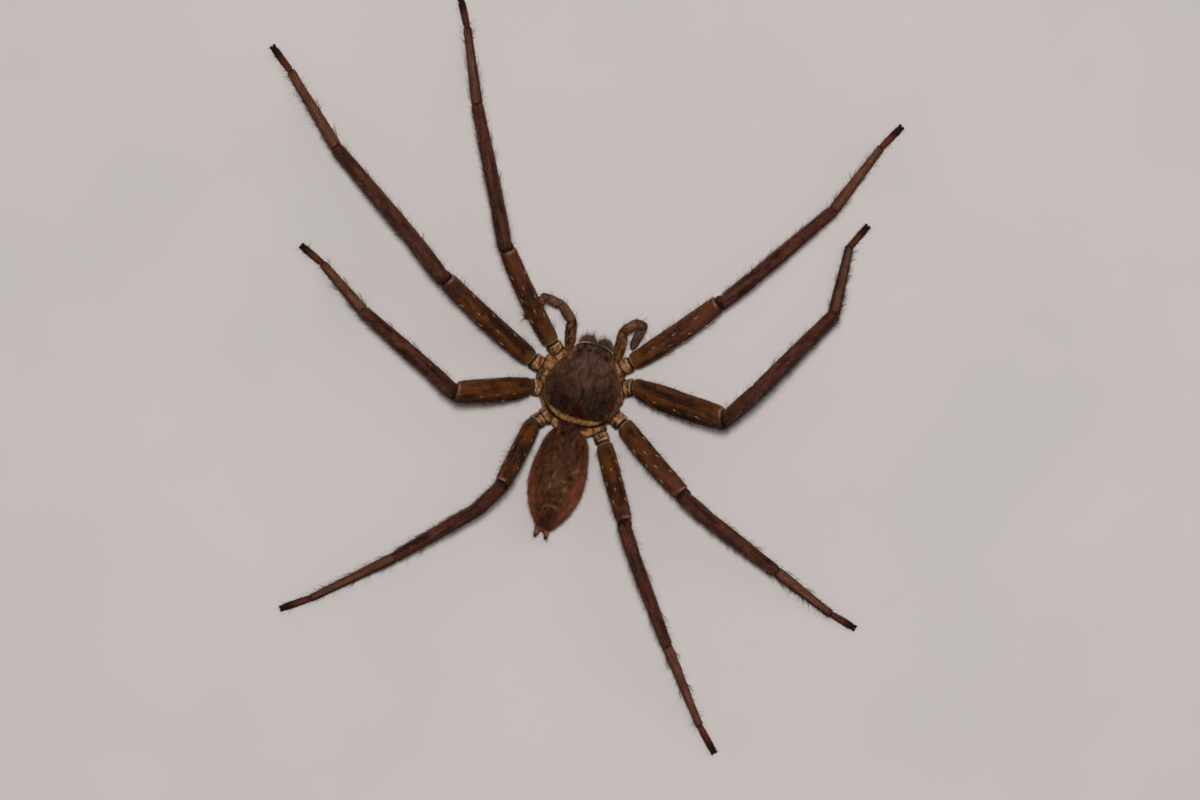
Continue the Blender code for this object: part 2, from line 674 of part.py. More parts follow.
def make_segment(name, joints, index, sections, stout, material, parts, sides=LEG_SIDES):
    """One straight leg segment between two joints, its ends cut along the joints' planes."""
    start, end = joints[index], joints[index + 1]
    ahead = (end - start).normalized()
    frames = [section_frame(start.lerp(end, share), ahead, width * stout, depth * stout)
              for share, width, depth in sections]
    bm, rings = loft(frames, sides)
    before = (start - joints[index - 1]).normalized()
    plane = (before + ahead).normalized()
    slide_to_plane(rings[0], ahead, start + plane * GAP / 2, plane)
    if index + 2 < len(joints):
        after = (joints[index + 2] - end).normalized()
        plane = (ahead + after).normalized()
        slide_to_plane(rings[-1], ahead, end - plane * GAP / 2, plane)
    for vert in bm.verts:
        vert.co.z = max(vert.co.z, 0.0)
    return add_part(name, bm, material, parts, section_frame(start, ahead, 2, 2))


def make_femur(name, joints, leg, front, material, parts):
    """Coxa, trochanter and femur as one piece, from the body to the knee."""
    stout = STOUTNESS[leg.pair]
    roll = math.radians(leg.roll) * front
    root, coxa_end, base, knee, patella_end = joints[:5]
    frames = []
    into = (coxa_end - root).normalized()
    across = (base - coxa_end).normalized()
    ahead = (knee - base).normalized()
    for share, width, depth in COXA:
        facing = into if share < 1 else (into + across).normalized()
        frames.append(section_frame(root.lerp(coxa_end, share), facing, width * stout, depth * stout))
    for share, width, depth in TROCHANTER_RINGS:
        facing = across if share < 1 else (across + ahead).normalized()
        frames.append(section_frame(coxa_end.lerp(base, share), facing, width * stout, depth * stout))
    side = Vector((0, 0, 1)).cross(ahead).normalized() * front * FEMUR_BOW[leg.pair]
    for share, width, depth in FEMUR:
        middle = base.lerp(knee, share) + side * 4 * share * (1 - share)
        frames.append(section_frame(middle, ahead, width * stout, depth * stout, roll * min(1, share * 4)))
    bm, rings = loft(frames, LEG_SIDES)
    plane = (ahead + (patella_end - knee).normalized()).normalized()
    slide_to_plane(rings[-1], ahead, knee - plane * GAP / 2, plane)
    part = add_part("leg_" + name + "_femur", bm, material, parts, section_frame(base, ahead, 2, 2))
    return part, (base, knee, FEMUR, stout, front, roll, side)


def make_pads(joints, material, cutters):
    """The two pads of the claw tuft, as short tapered lobes."""
    length, width, spread = PADS
    ankle, tip = joints[-2], joints[-1]
    ahead = (tip - ankle).normalized()
    lobes = []
    for side in (-1, 1):
        out = Matrix.Rotation(math.radians(spread) * side, 3, "Z") @ ahead
        root = tip - ahead * length * 0.62
        shares = ((0.0, 0.9), (0.75, 1.0), (1.0, 0.6))
        frames = [section_frame(root + out * length * share, out, width * size, width * size * 1.3)
                  for share, size in shares]
        bm, _ = loft(frames, PAD_SIDES)
        for vert in bm.verts:
            vert.co.z = max(vert.co.z, 0.0)
        lobes.append(add_part("pad", bm, material, cutters))
    return lobes


def make_leg(name, materials, parts, cutters, outlines, draw):
    leg = LEGS[name]
    front = -1 if name[0] == "l" else 1
    stout = STOUTNESS[leg.pair]
    joints = leg_joints(name)
    femur, segment = make_femur(name, joints, leg, front, materials["femur"], parts)
    clear_of(femur, outlines, cutters)
    outline = outline_of(femur, cutters)
    apply_boolean(femur, "UNION", spine_objects(segment, FEMUR_SPINES, draw, materials["femur"], cutters))
    outer = materials["outer"]
    make_segment("leg_" + name + "_patella", joints, 3, PATELLA, stout, outer, parts)
    for title, index, sections, spines in (("tibia", 4, TIBIA, TIBIA_SPINES),
                                           ("metatarsus", 5, METATARSUS, METATARSUS_SPINES)):
        part = make_segment("leg_" + name + "_" + title, joints, index, sections, stout, outer, parts)
        segment = (joints[index], joints[index + 1], sections, stout, front, 0.0, Vector())
        apply_boolean(part, "UNION", spine_objects(segment, spines, draw, outer, cutters))
    tarsus = make_segment("leg_" + name + "_tarsus", joints, 6, TARSUS, 1.0, materials["tarsus"], parts,
                          FOOT_SIDES)
    apply_boolean(tarsus, "UNION", make_pads(joints, materials["tarsus"], cutters))
    return outline


def main():
    clear_scene()
    parts = make_collection("huntsman_spider")
    cutters = make_collection("cutters")
    draw = random.Random(SPINE_SEED)
    dark = make_material("dark_furred_shell", DARK_BROWN)
    leg_materials = {
        "femur": make_material("olive_brown_leg", OLIVE_BROWN),
        "outer": make_material("red_brown_leg", RED_BROWN),
        "tarsus": make_material("rusty_foot", RUSSET),
    }
    eye_black = make_material("eye_black", BLACK)
    shield, shield_outline = make_carapace(dark, parts, cutters)
    eyes = make_eyes(eye_black, parts)
    plate = make_sternum(make_material("tan_shell", TAN), parts, cutters, shield_outline)
    abdomen = make_abdomen(make_material("russet_abdomen", RUSSET), parts, cutters, shield_outline)
    spinnerets = make_spinnerets(dark, parts, cutters, abdomen)
    jaws = make_jaws(dark, make_material("fang_black", CLAW_BLACK), parts, cutters, shield_outline)
    outlines = [shield_outline, outline_of(plate, cutters)]
    palps = []
    for jaw in jaws[::2]:
        palps += make_palp(jaw.name[-1], leg_materials["femur"], parts, cutters, outlines + [jaw])
    spider = bpy.data.objects.new("spider_body", None)
    spider.matrix_world = Matrix.Translation(BODY_AT * MM) @ Matrix.Rotation(BODY_TURN, 4, "Z")
    parts.objects.link(spider)
    for piece in [shield, plate, abdomen, spinnerets, *eyes, *jaws, *palps, *outlines]:
        piece.parent = spider
    bpy.context.view_layer.update()
    for side in ("l", "r"):
        palp = next(piece for piece in palps if piece.name == "palp_" + side)
        nearer = list(outlines)
        for pair in (1, 2, 3, 4):
            outline = make_leg(side + str(pair), leg_materials, parts, cutters, nearer, draw)
            nearer = outlines + [outline]
            if pair == 1:
                clear_of(palp, [outline], cutters)
    for cutter in list(cutters.objects):
        bpy.data.objects.remove(cutter, do_unlink=True)


main()
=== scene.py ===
# %% [markdown]
# # Dressing a huntsman spider
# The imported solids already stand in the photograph's pose. This lesson covers them with one skin, then
# with eyes, fangs, claws, spines and fur. Lengths are in millimetres, as a spider's are usually given,
# and each mesh is turned to metres as it is finished, because the solids are in metres.

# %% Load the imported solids
import math
from collections import namedtuple

import bmesh
import bpy
import numpy as np
from mathutils import Matrix, Vector, noise
from mathutils.kdtree import KDTree


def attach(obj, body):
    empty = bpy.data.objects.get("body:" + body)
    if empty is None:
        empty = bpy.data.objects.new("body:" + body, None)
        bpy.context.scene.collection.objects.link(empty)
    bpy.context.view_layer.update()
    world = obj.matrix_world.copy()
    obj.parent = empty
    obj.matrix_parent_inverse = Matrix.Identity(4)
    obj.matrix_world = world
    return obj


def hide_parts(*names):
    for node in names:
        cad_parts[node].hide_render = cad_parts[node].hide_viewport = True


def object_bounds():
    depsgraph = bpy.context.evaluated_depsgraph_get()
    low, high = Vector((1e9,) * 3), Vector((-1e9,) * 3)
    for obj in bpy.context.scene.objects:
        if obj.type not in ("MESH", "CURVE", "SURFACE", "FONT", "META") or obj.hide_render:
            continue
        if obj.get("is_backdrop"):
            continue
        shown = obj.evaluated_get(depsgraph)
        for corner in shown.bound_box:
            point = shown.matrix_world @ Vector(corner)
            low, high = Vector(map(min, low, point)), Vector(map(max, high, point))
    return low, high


MM = 0.001
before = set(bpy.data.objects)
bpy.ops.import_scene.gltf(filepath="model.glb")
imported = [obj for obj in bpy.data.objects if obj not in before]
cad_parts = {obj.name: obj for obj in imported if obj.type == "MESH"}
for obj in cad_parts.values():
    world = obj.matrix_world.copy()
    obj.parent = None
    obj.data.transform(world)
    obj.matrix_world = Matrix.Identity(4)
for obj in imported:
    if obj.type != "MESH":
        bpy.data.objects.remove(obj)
cad_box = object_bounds()
print("solids:", len(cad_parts))

# %% [markdown]
# ## Camera
# The spider stands on the floor, and the camera looks straight down at its back, with the top of the
# picture towards +Y. A camera could be placed by eye, but a long lens at a known height gives a scale
# that can be worked out: the frame is 144 mm wide where it meets the floor.

# %% Place the camera
CAMERA_HEIGHT = 600.0
FRAME_WIDTH = 144.0
CAMERA_OVER = (1.561, -2.829)
SENSOR = 36.0


def link(piece):
    """Put an object into the scene."""
    bpy.context.scene.collection.objects.link(piece)
    return piece


lens = bpy.data.cameras.new("camera")
lens.sensor_width = SENSOR
lens.lens = SENSOR * CAMERA_HEIGHT / FRAME_WIDTH
lens.clip_start = 0.01
camera = link(bpy.data.objects.new("camera", lens))
camera.location = (CAMERA_OVER[0] * MM, CAMERA_OVER[1] * MM, CAMERA_HEIGHT * MM)
bpy.context.scene.camera = camera
print("focal length", round(lens.lens, 1))

# %% [markdown]
# ## Colours and nodes
# Colours are read off as sRGB hex values, the way a colour picker shows them. Blender's shaders work in
# linear light, so one function turns the first into the second. A second small function adds a shader
# node and fills or links its sockets.

# %% Helpers for colours and shader nodes


def tone(code):
    """An sRGB hex value as linear red, green and blue."""
    parts = [int(code[start:start + 2], 16) / 255 for start in (1, 3, 5)]
    return np.array([part / 12.92 if part <= 0.04045 else ((part + 0.055) / 1.055) ** 2.4 for part in parts])


def add(tree, kind, settings=None, sockets=None):
    """Add a node with its settings; a socket takes a value or a link from another node's output."""
    node = tree.nodes.new(kind)
    for name, value in (settings or {}).items():
        setattr(node, name, value)
    for name, value in (sockets or {}).items():
        if isinstance(value, bpy.types.NodeSocket):
            tree.links.new(value, node.inputs[name])
        else:
            node.inputs[name].default_value = value
    return node


def new_material(name):
    """A material with an empty tree but for its output, and the tree and the surface socket."""
    material = bpy.data.materials.new(name)
    material.use_nodes = True
    tree = material.node_tree
    tree.nodes.clear()
    output = tree.nodes.new("ShaderNodeOutputMaterial")
    return material, tree, output.inputs["Surface"]


print("a middle grey in linear light:", tone("#808080").round(3))

# %% [markdown]
# ## Floor and light
# A plain, matt, pale floor keeps the eye on the spider. The photograph was lit by a flash close to the
# lens, so hardly any shadow shows. A small light just beside the camera's line of sight does the same,
# and a wide dim light and a pale surrounding keep the far sides from going black.

# %% Build the floor and the lights
FLOOR_SIZE = 3.0
PER_MM = 1000.0
SURROUNDING = ("#d8dadd", 0.22)


def two_tone_noise(tree, first, second, scale):
    """A colour that drifts between two tones with a noise of so many waves per mm of the object."""
    here = add(tree, "ShaderNodeTexCoord").outputs["Object"]
    cloud = add(tree, "ShaderNodeTexNoise", sockets={
        "Vector": here, "Scale": scale * PER_MM, "Detail": 3.0}).outputs["Fac"]
    share = add(tree, "ShaderNodeMapRange", sockets={
        "Value": cloud, "From Min": 0.35, "From Max": 0.65}).outputs["Result"]
    blend = add(tree, "ShaderNodeMix", {"data_type": "RGBA"}, {
        0: share, 6: (*tone(first), 1), 7: (*tone(second), 1)})
    return blend.outputs[2]


def make_floor_material():
    """Matt paint: pale warm grey, a little uneven, with hardly any sheen."""
    material, tree, surface = new_material("matt paint")
    paint = two_tone_noise(tree, "#c9c1bd", "#c4bdb9", 0.03)
    shader = add(tree, "ShaderNodeBsdfPrincipled", sockets={
        "Base Color": paint, "Roughness": 0.9, "Specular IOR Level": 0.2})
    tree.links.new(shader.outputs[0], surface)
    return material


def make_floor():
    bm = bmesh.new()
    bmesh.ops.create_grid(bm, x_segments=1, y_segments=1, size=FLOOR_SIZE / 2)
    mesh = bpy.data.meshes.new("floor")
    bm.to_mesh(mesh)
    bm.free()
    mesh.materials.append(make_floor_material())
    floor = link(bpy.data.objects.new("floor", mesh))
    floor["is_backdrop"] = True


def make_light(name, at, size, power):
    """A square area light that shines at the spider."""
    data = bpy.data.lights.new(name, "AREA")
    data.size = size
    data.energy = power
    light = link(bpy.data.objects.new(name, data))
    light.location = at
    light.rotation_euler = (-Vector(at)).to_track_quat("-Z", "Y").to_euler()


make_floor()
make_light("key", (0.0, 0.045, 0.80), 0.06, 4.8)
make_light("fill", (0.35, 0.30, 0.60), 0.60, 0.6)
world = bpy.data.worlds.new("studio")
world.use_nodes = True
background = world.node_tree.nodes["Background"].inputs
background["Color"].default_value = (*tone(SURROUNDING[0]), 1)
background["Strength"].default_value = SURROUNDING[1]
bpy.context.scene.world = world
bpy.context.scene.view_settings.view_transform = "Standard"
print("floor and", len([o for o in bpy.data.objects if o.type == "LIGHT"]), "lights")

# %% [markdown]
# ## Where everything is
# A spider has eight legs of seven parts each, two feelers, a back shield and an abdomen. The solids were
# built from a short table: how long each part of a leg is, which way it points and how steeply. The same
# table gives the skin its joints, so that skin and solids agree by construction.

# %% The body's place and the joints of the legs
BODY_AT = Vector((-0.286, -1.006, 0.0))
BODY_TURN = math.radians(-16.5)
BODY = Matrix.Translation(BODY_AT) @ Matrix.Rotation(BODY_TURN, 4, "Z")

# Femur, patella, tibia, metatarsus and tarsus of the four pairs, and how stout each pair is
LENGTHS = {
    1: (12.9, 5.1, 12.9, 10.6, 3.3),
    2: (13.7, 5.6, 14.3, 11.2, 3.3),
    3: (11.3, 4.3, 11.1, 9.0, 3.1),
    4: (10.6, 4.4, 12.0, 12.0, 3.5),
}
STOUTNESS = {1: 0.98, 2: 1.06, 3: 1.02, 4: 0.93}
FEMUR_BOW = {1: -0.20, 2: -0.20, 3: -0.18, 4: -0.05}
COXA_ROOTS = {1: (1.40, 0.80), 2: (2.00, -0.35), 3: (1.95, -1.60), 4: (1.25, -2.65)}
COXA_ROOT_Z = 2.30
COXA_END_Z = 2.85
FEMUR_BASE_Z = 3.20
ANKLE_Z = 0.60
TARSUS_TIP_Z = 0.42
TROCHANTER = 1.35

# Pair, size, femur's base in the body frame, headings of five segments, slopes of three, femur's roll
Leg = namedtuple("Leg", "pair size base headings slopes roll")
LEGS = {
    "l1": Leg(1, 1.00, (-5.22, 3.71), (115.3, 102.3, 101.7, 97.8, 102.3), (20.0, 6.0, -14.0), 0),
    "l2": Leg(2, 1.05, (-6.94, 1.15), (137.0, 129.2, 130.0, 121.5, 126.1), (18.0, 3.0, -12.0), 0),
    "l3": Leg(3, 1.01, (-6.20, -1.99), (-175.2, 139.0, 139.0, 131.4, 139.9), (40.0, -28.0, -16.0), 70),
    "l4": Leg(4, 1.02, (-4.58, -6.18), (-116.6, -134.0, -149.9, -153.8, -160.7), (43.0, -15.0, -23.0), 0),
    "r1": Leg(1, 1.00, (4.70, 4.10), (34.3, 36.3, 40.2, 52.3, 45.5), (15.0, 13.0, -13.0), 30),
    "r2": Leg(2, 0.955, (5.85, 1.45), (-19.7, 40.8, 44.6, 75.0, 48.9), (31.0, 20.0, -20.0), 80),
    "r3": Leg(3, 0.99, (5.79, -3.24), (-49.5, -44.6, -37.9, -37.9, -30.6), (16.0, 8.0, -19.0), 0),
    "r4": Leg(4, 0.98, (4.24, -6.10), (-75.1, -75.6, -69.7, -68.0, -61.6), (24.0, 13.0, -14.0), 0),
}


def side_of(name):
    """-1 for a limb of the left side and 1 for one of the right, by the first letter of its name."""
    return -1 if name[0] == "l" else 1


def direction(heading, slope):
    """The unit vector of a compass heading and a slope, both in degrees."""
    level = math.cos(math.radians(slope))
    return Vector((level * math.cos(math.radians(heading)), level * math.sin(math.radians(heading)),
                   math.sin(math.radians(slope))))


def leg_joints(name):
    """The joints of a leg in the world, from the coxa's root to the tarsus's tip."""
    leg = LEGS[name]
    lengths = [length * leg.size for length in LENGTHS[leg.pair]]
    root_x, root_y = COXA_ROOTS[leg.pair]
    root = BODY @ Vector((side_of(name) * root_x, root_y, COXA_ROOT_Z))
    base = BODY @ Vector((*leg.base, FEMUR_BASE_Z))
    coxa_end = base + (root - base).normalized() * TROCHANTER
    coxa_end.z = COXA_END_Z
    joints = [root, coxa_end, base]
    for length, heading, slope in zip(lengths, leg.headings, leg.slopes):
        joints.append(joints[-1] + direction(heading, slope) * length)
    for length, heading, level in zip(lengths[3:], leg.headings[3:], (ANKLE_Z, TARSUS_TIP_Z)):
        slope = -math.degrees(math.asin((joints[-1].z - level) / length))
        joints.append(joints[-1] + direction(heading, slope) * length)
    return joints


def axes_of(ahead):
    """The level direction and the upright one that are square to the way a limb runs."""
    across = Vector((0, 0, 1)).cross(ahead)
    across = across.normalized() if across.length > 0.02 else Vector((1, 0, 0))
    return across, ahead.cross(across).normalized()


def femur_bend(name):
    """How far the thigh bows to the front in its middle, and the angle it is rolled about itself."""
    leg = LEGS[name]
    joints = leg_joints(name)
    across, _ = axes_of((joints[3] - joints[2]).normalized())
    return across * side_of(name) * FEMUR_BOW[leg.pair], math.radians(leg.roll) * side_of(name)


for name in LEGS:
    print(name, "knee height", round(leg_joints(name)[3].z, 1), "mm")

# %% [markdown]
# ## A note of every point of the skin
# Markings, fur and the grain of the shell all need to know where on the animal a point lies: on which
# part, how far along it, which way the fur runs there. Each shell is built alone, so it can note this
# for its own points. Once the shells are joined to one skin, every point looks up the nearest note.

# %% The notebook of points and the smooth curve that reads a table
ZONES = ("shield", "head", "band", "abdomen", "sternum", "flesh", "jaw", "spinneret", "coxa", "trochanter",
         "femur", "patella", "tibia", "metatarsus", "tarsus", "pad", "palp", "palp_tarsus", "brow", "clypeus",
         "rim", "knob")
ZONE = {title: number for number, title in enumerate(ZONES)}
SHELLS = []
notes = {key: [] for key in ("place", "lie", "tint", "grain", "flat", "room", "zone", "shell")}


def new_shell(name):
    """Start a shell: its number in the list of shells, and an empty bmesh."""
    SHELLS.append(name)
    return len(SHELLS) - 1, bmesh.new()


def note(*vectors, room, zone, shell):
    """Write down a point: place, fur's lie, colour, grain, unwrap, room for a hair, zone and shell."""
    for column, value in zip(notes.values(), (*map(tuple, vectors), (room,), ZONE[zone], shell)):
        column.append(value)


def smooth_curve(places, values, at):
    """Read a table at some places on a smooth curve that never swings past its rows."""
    places = np.asarray(places, float)
    values = np.asarray(values, float)
    at = np.asarray(at, float)
    gaps = np.diff(places)[:, None]
    slopes = np.diff(values, axis=0) / gaps
    both = slopes[:-1] * slopes[1:]
    total = slopes[:-1] + slopes[1:]
    inner = np.where(both > 0, 2 * both / np.where(total == 0, 1, total), 0)
    tangents = np.vstack([slopes[:1], inner, slopes[-1:]])
    index = np.clip(np.searchsorted(places, at, side="right") - 1, 0, len(gaps) - 1)
    gap = gaps[index]
    t = ((at - places[index]) / gap[:, 0])[:, None]
    start, end = values[index], values[index + 1]
    bend = (2 * t ** 3 - 3 * t ** 2 + 1) * start + (3 * t ** 2 - 2 * t ** 3) * end
    leave = (t ** 3 - 2 * t ** 2 + t) * tangents[index]
    arrive = (t ** 3 - t ** 2) * tangents[index + 1]
    return bend + gap * (leave + arrive)


def step(low, high, value):
    """0 below low, 1 above high and a smooth rise between them."""
    t = min(1.0, max(0.0, (value - low) / (high - low)))
    return t * t * (3 - 2 * t)


def mix(first, second, share):
    return first + (second - first) * share


def bell(offset, width):
    """1 where the offset is 0, and almost 0 from twice the width on."""
    return math.exp(-(offset / width) ** 2)


def blot(x, y, at_x, at_y, spread):
    """1 in the middle of a round blot, falling to 0 around it."""
    return math.exp(-((x - at_x) ** 2 + (y - at_y) ** 2) / spread)


print("zones:", len(ZONES))

# %% [markdown]
# ## Limbs
# A spider's leg is a chain of tubes. Each tube ends in a thickened rim, and between two rims lies a
# narrower ring of soft, dark skin that lets the joint bend. A leg could be a row of separate tubes, but
# then the joints would show gaps. Here one circle is extruded from the body to the foot, ring by ring:
# wide at the rims and narrow at the soft skin. Near a joint the rings lean into the joint's plane, as
# the mitre of a pipe does, so that a sharp knee doesn't fold into itself.

# %% The sections of each leg segment
# Share of the segment's length, millimetres from there, width and depth of the bare shell
COXA = ((0, 0.0, 1.2, 1.35), (0.3, 0, 1.9, 1.8), (0.7, 0, 2.34, 2.05), (1, -0.30, 2.24, 2.00),
        (1, -0.14, 2.06, 1.90), (1, -0.05, 1.78, 1.70))
TROCHANTER_ROWS = ((0, 0, 1.70, 1.66), (0, 0.08, 1.72, 1.74), (0, 0.18, 1.84, 1.88),
                   (0.45, 0, 1.90, 1.94), (1, -0.42, 1.86, 1.92), (1, -0.34, 1.92, 2.00),
                   (1, -0.27, 1.70, 1.80), (1, -0.14, 1.40, 1.48))
FEMUR = ((0, 0, 1.44, 1.52), (0, 0.10, 1.52, 1.62), (0, 0.17, 1.88, 2.07), (0, 0.32, 1.98, 2.22),
         (0.15, 0, 2.18, 2.62), (0.40, 0, 2.25, 2.85), (0.68, 0, 2.18, 2.85), (0.88, 0, 2.05, 2.66),
         (1, -0.50, 1.96, 2.46), (1, -0.26, 1.94, 2.40), (1, -0.16, 1.80, 2.20), (1, -0.08, 1.46, 1.72))
PATELLA = ((0, 0, 1.40, 1.50), (0, 0.12, 1.46, 1.56), (0, 0.30, 1.54, 1.70), (0.25, 0, 1.66, 2.00),
           (0.72, 0, 1.72, 1.94), (1, -0.16, 1.66, 1.78), (1, -0.07, 1.60, 1.70))
TIBIA = ((0, 0, 1.48, 1.58), (0, 0.09, 1.56, 1.66), (0, 0.30, 1.60, 1.72), (0.15, 0, 1.64, 1.78),
         (0.50, 0, 1.56, 1.68), (0.85, 0, 1.40, 1.48), (1, -0.30, 1.36, 1.40), (1, -0.16, 1.32, 1.36),
         (1, -0.08, 1.12, 1.16))
METATARSUS = ((0, 0, 1.06, 1.10), (0, 0.10, 1.10, 1.14), (0, 0.24, 1.20, 1.24), (0.12, 0, 1.26, 1.30),
              (0.50, 0, 1.08, 1.10), (0.88, 0, 0.92, 0.92), (1, -0.22, 0.90, 0.90), (1, -0.10, 0.84, 0.84))
TARSUS = ((0, 0, 0.66, 0.70), (0, 0.10, 0.68, 0.72), (0.20, 0, 0.76, 0.80), (0.60, 0, 0.80, 0.84),
          (0.86, 0, 0.80, 0.84), (1, 0, 0.56, 0.64))
LEG_TABLES = (("coxa", COXA), ("trochanter", TROCHANTER_ROWS), ("femur", FEMUR), ("patella", PATELLA),
              ("tibia", TIBIA), ("metatarsus", METATARSUS), ("tarsus", TARSUS))
RING_SPACING = 0.40
LEG_SIDES = 22
MITRE_REACH = 1.7
PATELLA_SHIFT = 0.22

Station = namedtuple("Station", "at ahead plane width depth roll title share start end along")


def limb_stations(joints, tables, stout, bow=None, roll=0.0):
    """The rings of a limb: where each is, which way it faces, how wide it is and what it belongs to."""
    aheads = [(after - before).normalized() for before, after in zip(joints, joints[1:])]
    stations = []
    along = 0.0
    for index, (title, rows) in enumerate(tables):
        start, end = joints[index], joints[index + 1]
        length = (end - start).length
        ahead = aheads[index]
        before = (ahead + aheads[max(index - 1, 0)]).normalized()
        after = (ahead + aheads[min(index + 1, len(aheads) - 1)]).normalized()
        marks = [share * length + offset for share, offset, _, _ in rows]
        fine = []
        for low, high in zip(marks, marks[1:]):
            steps = max(1, math.ceil((high - low) / RING_SPACING))
            fine += [low + (high - low) * number / steps for number in range(steps)]
        fine.append(marks[-1])
        sizes = smooth_curve(marks, [row[2:] for row in rows], fine)
        for mark, (width, depth) in zip(fine, sizes):
            share = mark / length
            middle = start.lerp(end, share)
            turn = 0.0
            if title == "femur" and bow is not None:
                middle = middle + bow * 4 * share * (1 - share)
                turn = roll * min(1.0, share * 4)
            if title == "patella" and bow is not None:
                middle = middle + bow.normalized() * PATELLA_SHIFT * (1 - share)
            near_start = max(0.0, 1 - mark / MITRE_REACH)
            near_end = max(0.0, 1 - (length - mark) / MITRE_REACH)
            plane = (ahead + (before - ahead) * near_start + (after - ahead) * near_end).normalized()
            slim = 1.0 if title == "tarsus" else stout
            stations.append(Station(middle, ahead, plane, width * slim, depth * slim, turn, title, share,
                                    mark, length - mark, along + mark))
        along += length
    return stations


print("rings on a first leg:", len(limb_stations(leg_joints("l1"), LEG_TABLES, 1.0)))

# %% [markdown]
# ## The colours of the legs
# Seen close, the thighs are a warm brown with a redder far end, and everything beyond the knee is dark
# reddish brown. The hind side carries painted shade, more on some legs than on others, and the sides are
# painted lighter, standing in for the light that fur catches at the edges. Some metatarsi carry a dark
# groove along one side. Hips and trochanters are tan with dark red creases that are partly painted shade,
# and pale rims, and the soft skin of the joints is almost black. One function gives a point its colour
# from where it is on the leg, so that the shell and the fur above it agree.

# %% Colour a point of a leg
OLIVE = tone("#5b3213")
OLIVE_DARK = tone("#28140b")
RED_BROWN = tone("#5d3223")
DEEP_BROWN = tone("#1b0e0a")
PURPLE = tone("#240f0a")
CREASE_RED_AND_SHADE = tone("#280c03")
TAN = tone("#966a40")
PINK_TAN = tone("#966846")
CREAM = tone("#c8b184")
PINK_CREAM = tone("#8d6552")
KNEE_RED = tone("#4a1a0e")
RUST = tone("#582a1a")
STRIP = tone("#704a36")
REDNESS = {"l1": 0.45, "l2": 0.25, "l3": 0.15, "l4": 0.20, "r1": 0.80, "r2": 0.20, "r3": 0.85, "r4": 0.25}
# Painted shade on the hind side of each leg, and the side of the metatarsus that carries a dark groove
HIND_SHADE = {"l1": 0.45, "l2": 0.35, "l3": 0.65, "l4": 0.45, "r1": 0.45, "r2": 0.90, "r3": 0.35, "r4": 0.25}
GROOVE_SIDE = {"l1": -1, "l4": 1, "r2": -1, "r3": 1}


def tissue_tone(place):
    """The mottled colour of hips and soft flanks: tan, pinkish tan and dark red creases, partly painted
    shade.
    """
    broad = noise.noise(place * 1.3)
    fine = noise.noise(place * 3.1 + Vector((7, 0, 0)))
    colour = mix(TAN, PINK_TAN, step(0.0, 0.35, broad))
    # Dark red creases: the skin's own dark red, and painted shade in the folds
    return mix(colour, CREASE_RED_AND_SHADE, 0.88 * step(-0.06, 0.18, fine - 0.3 * broad))


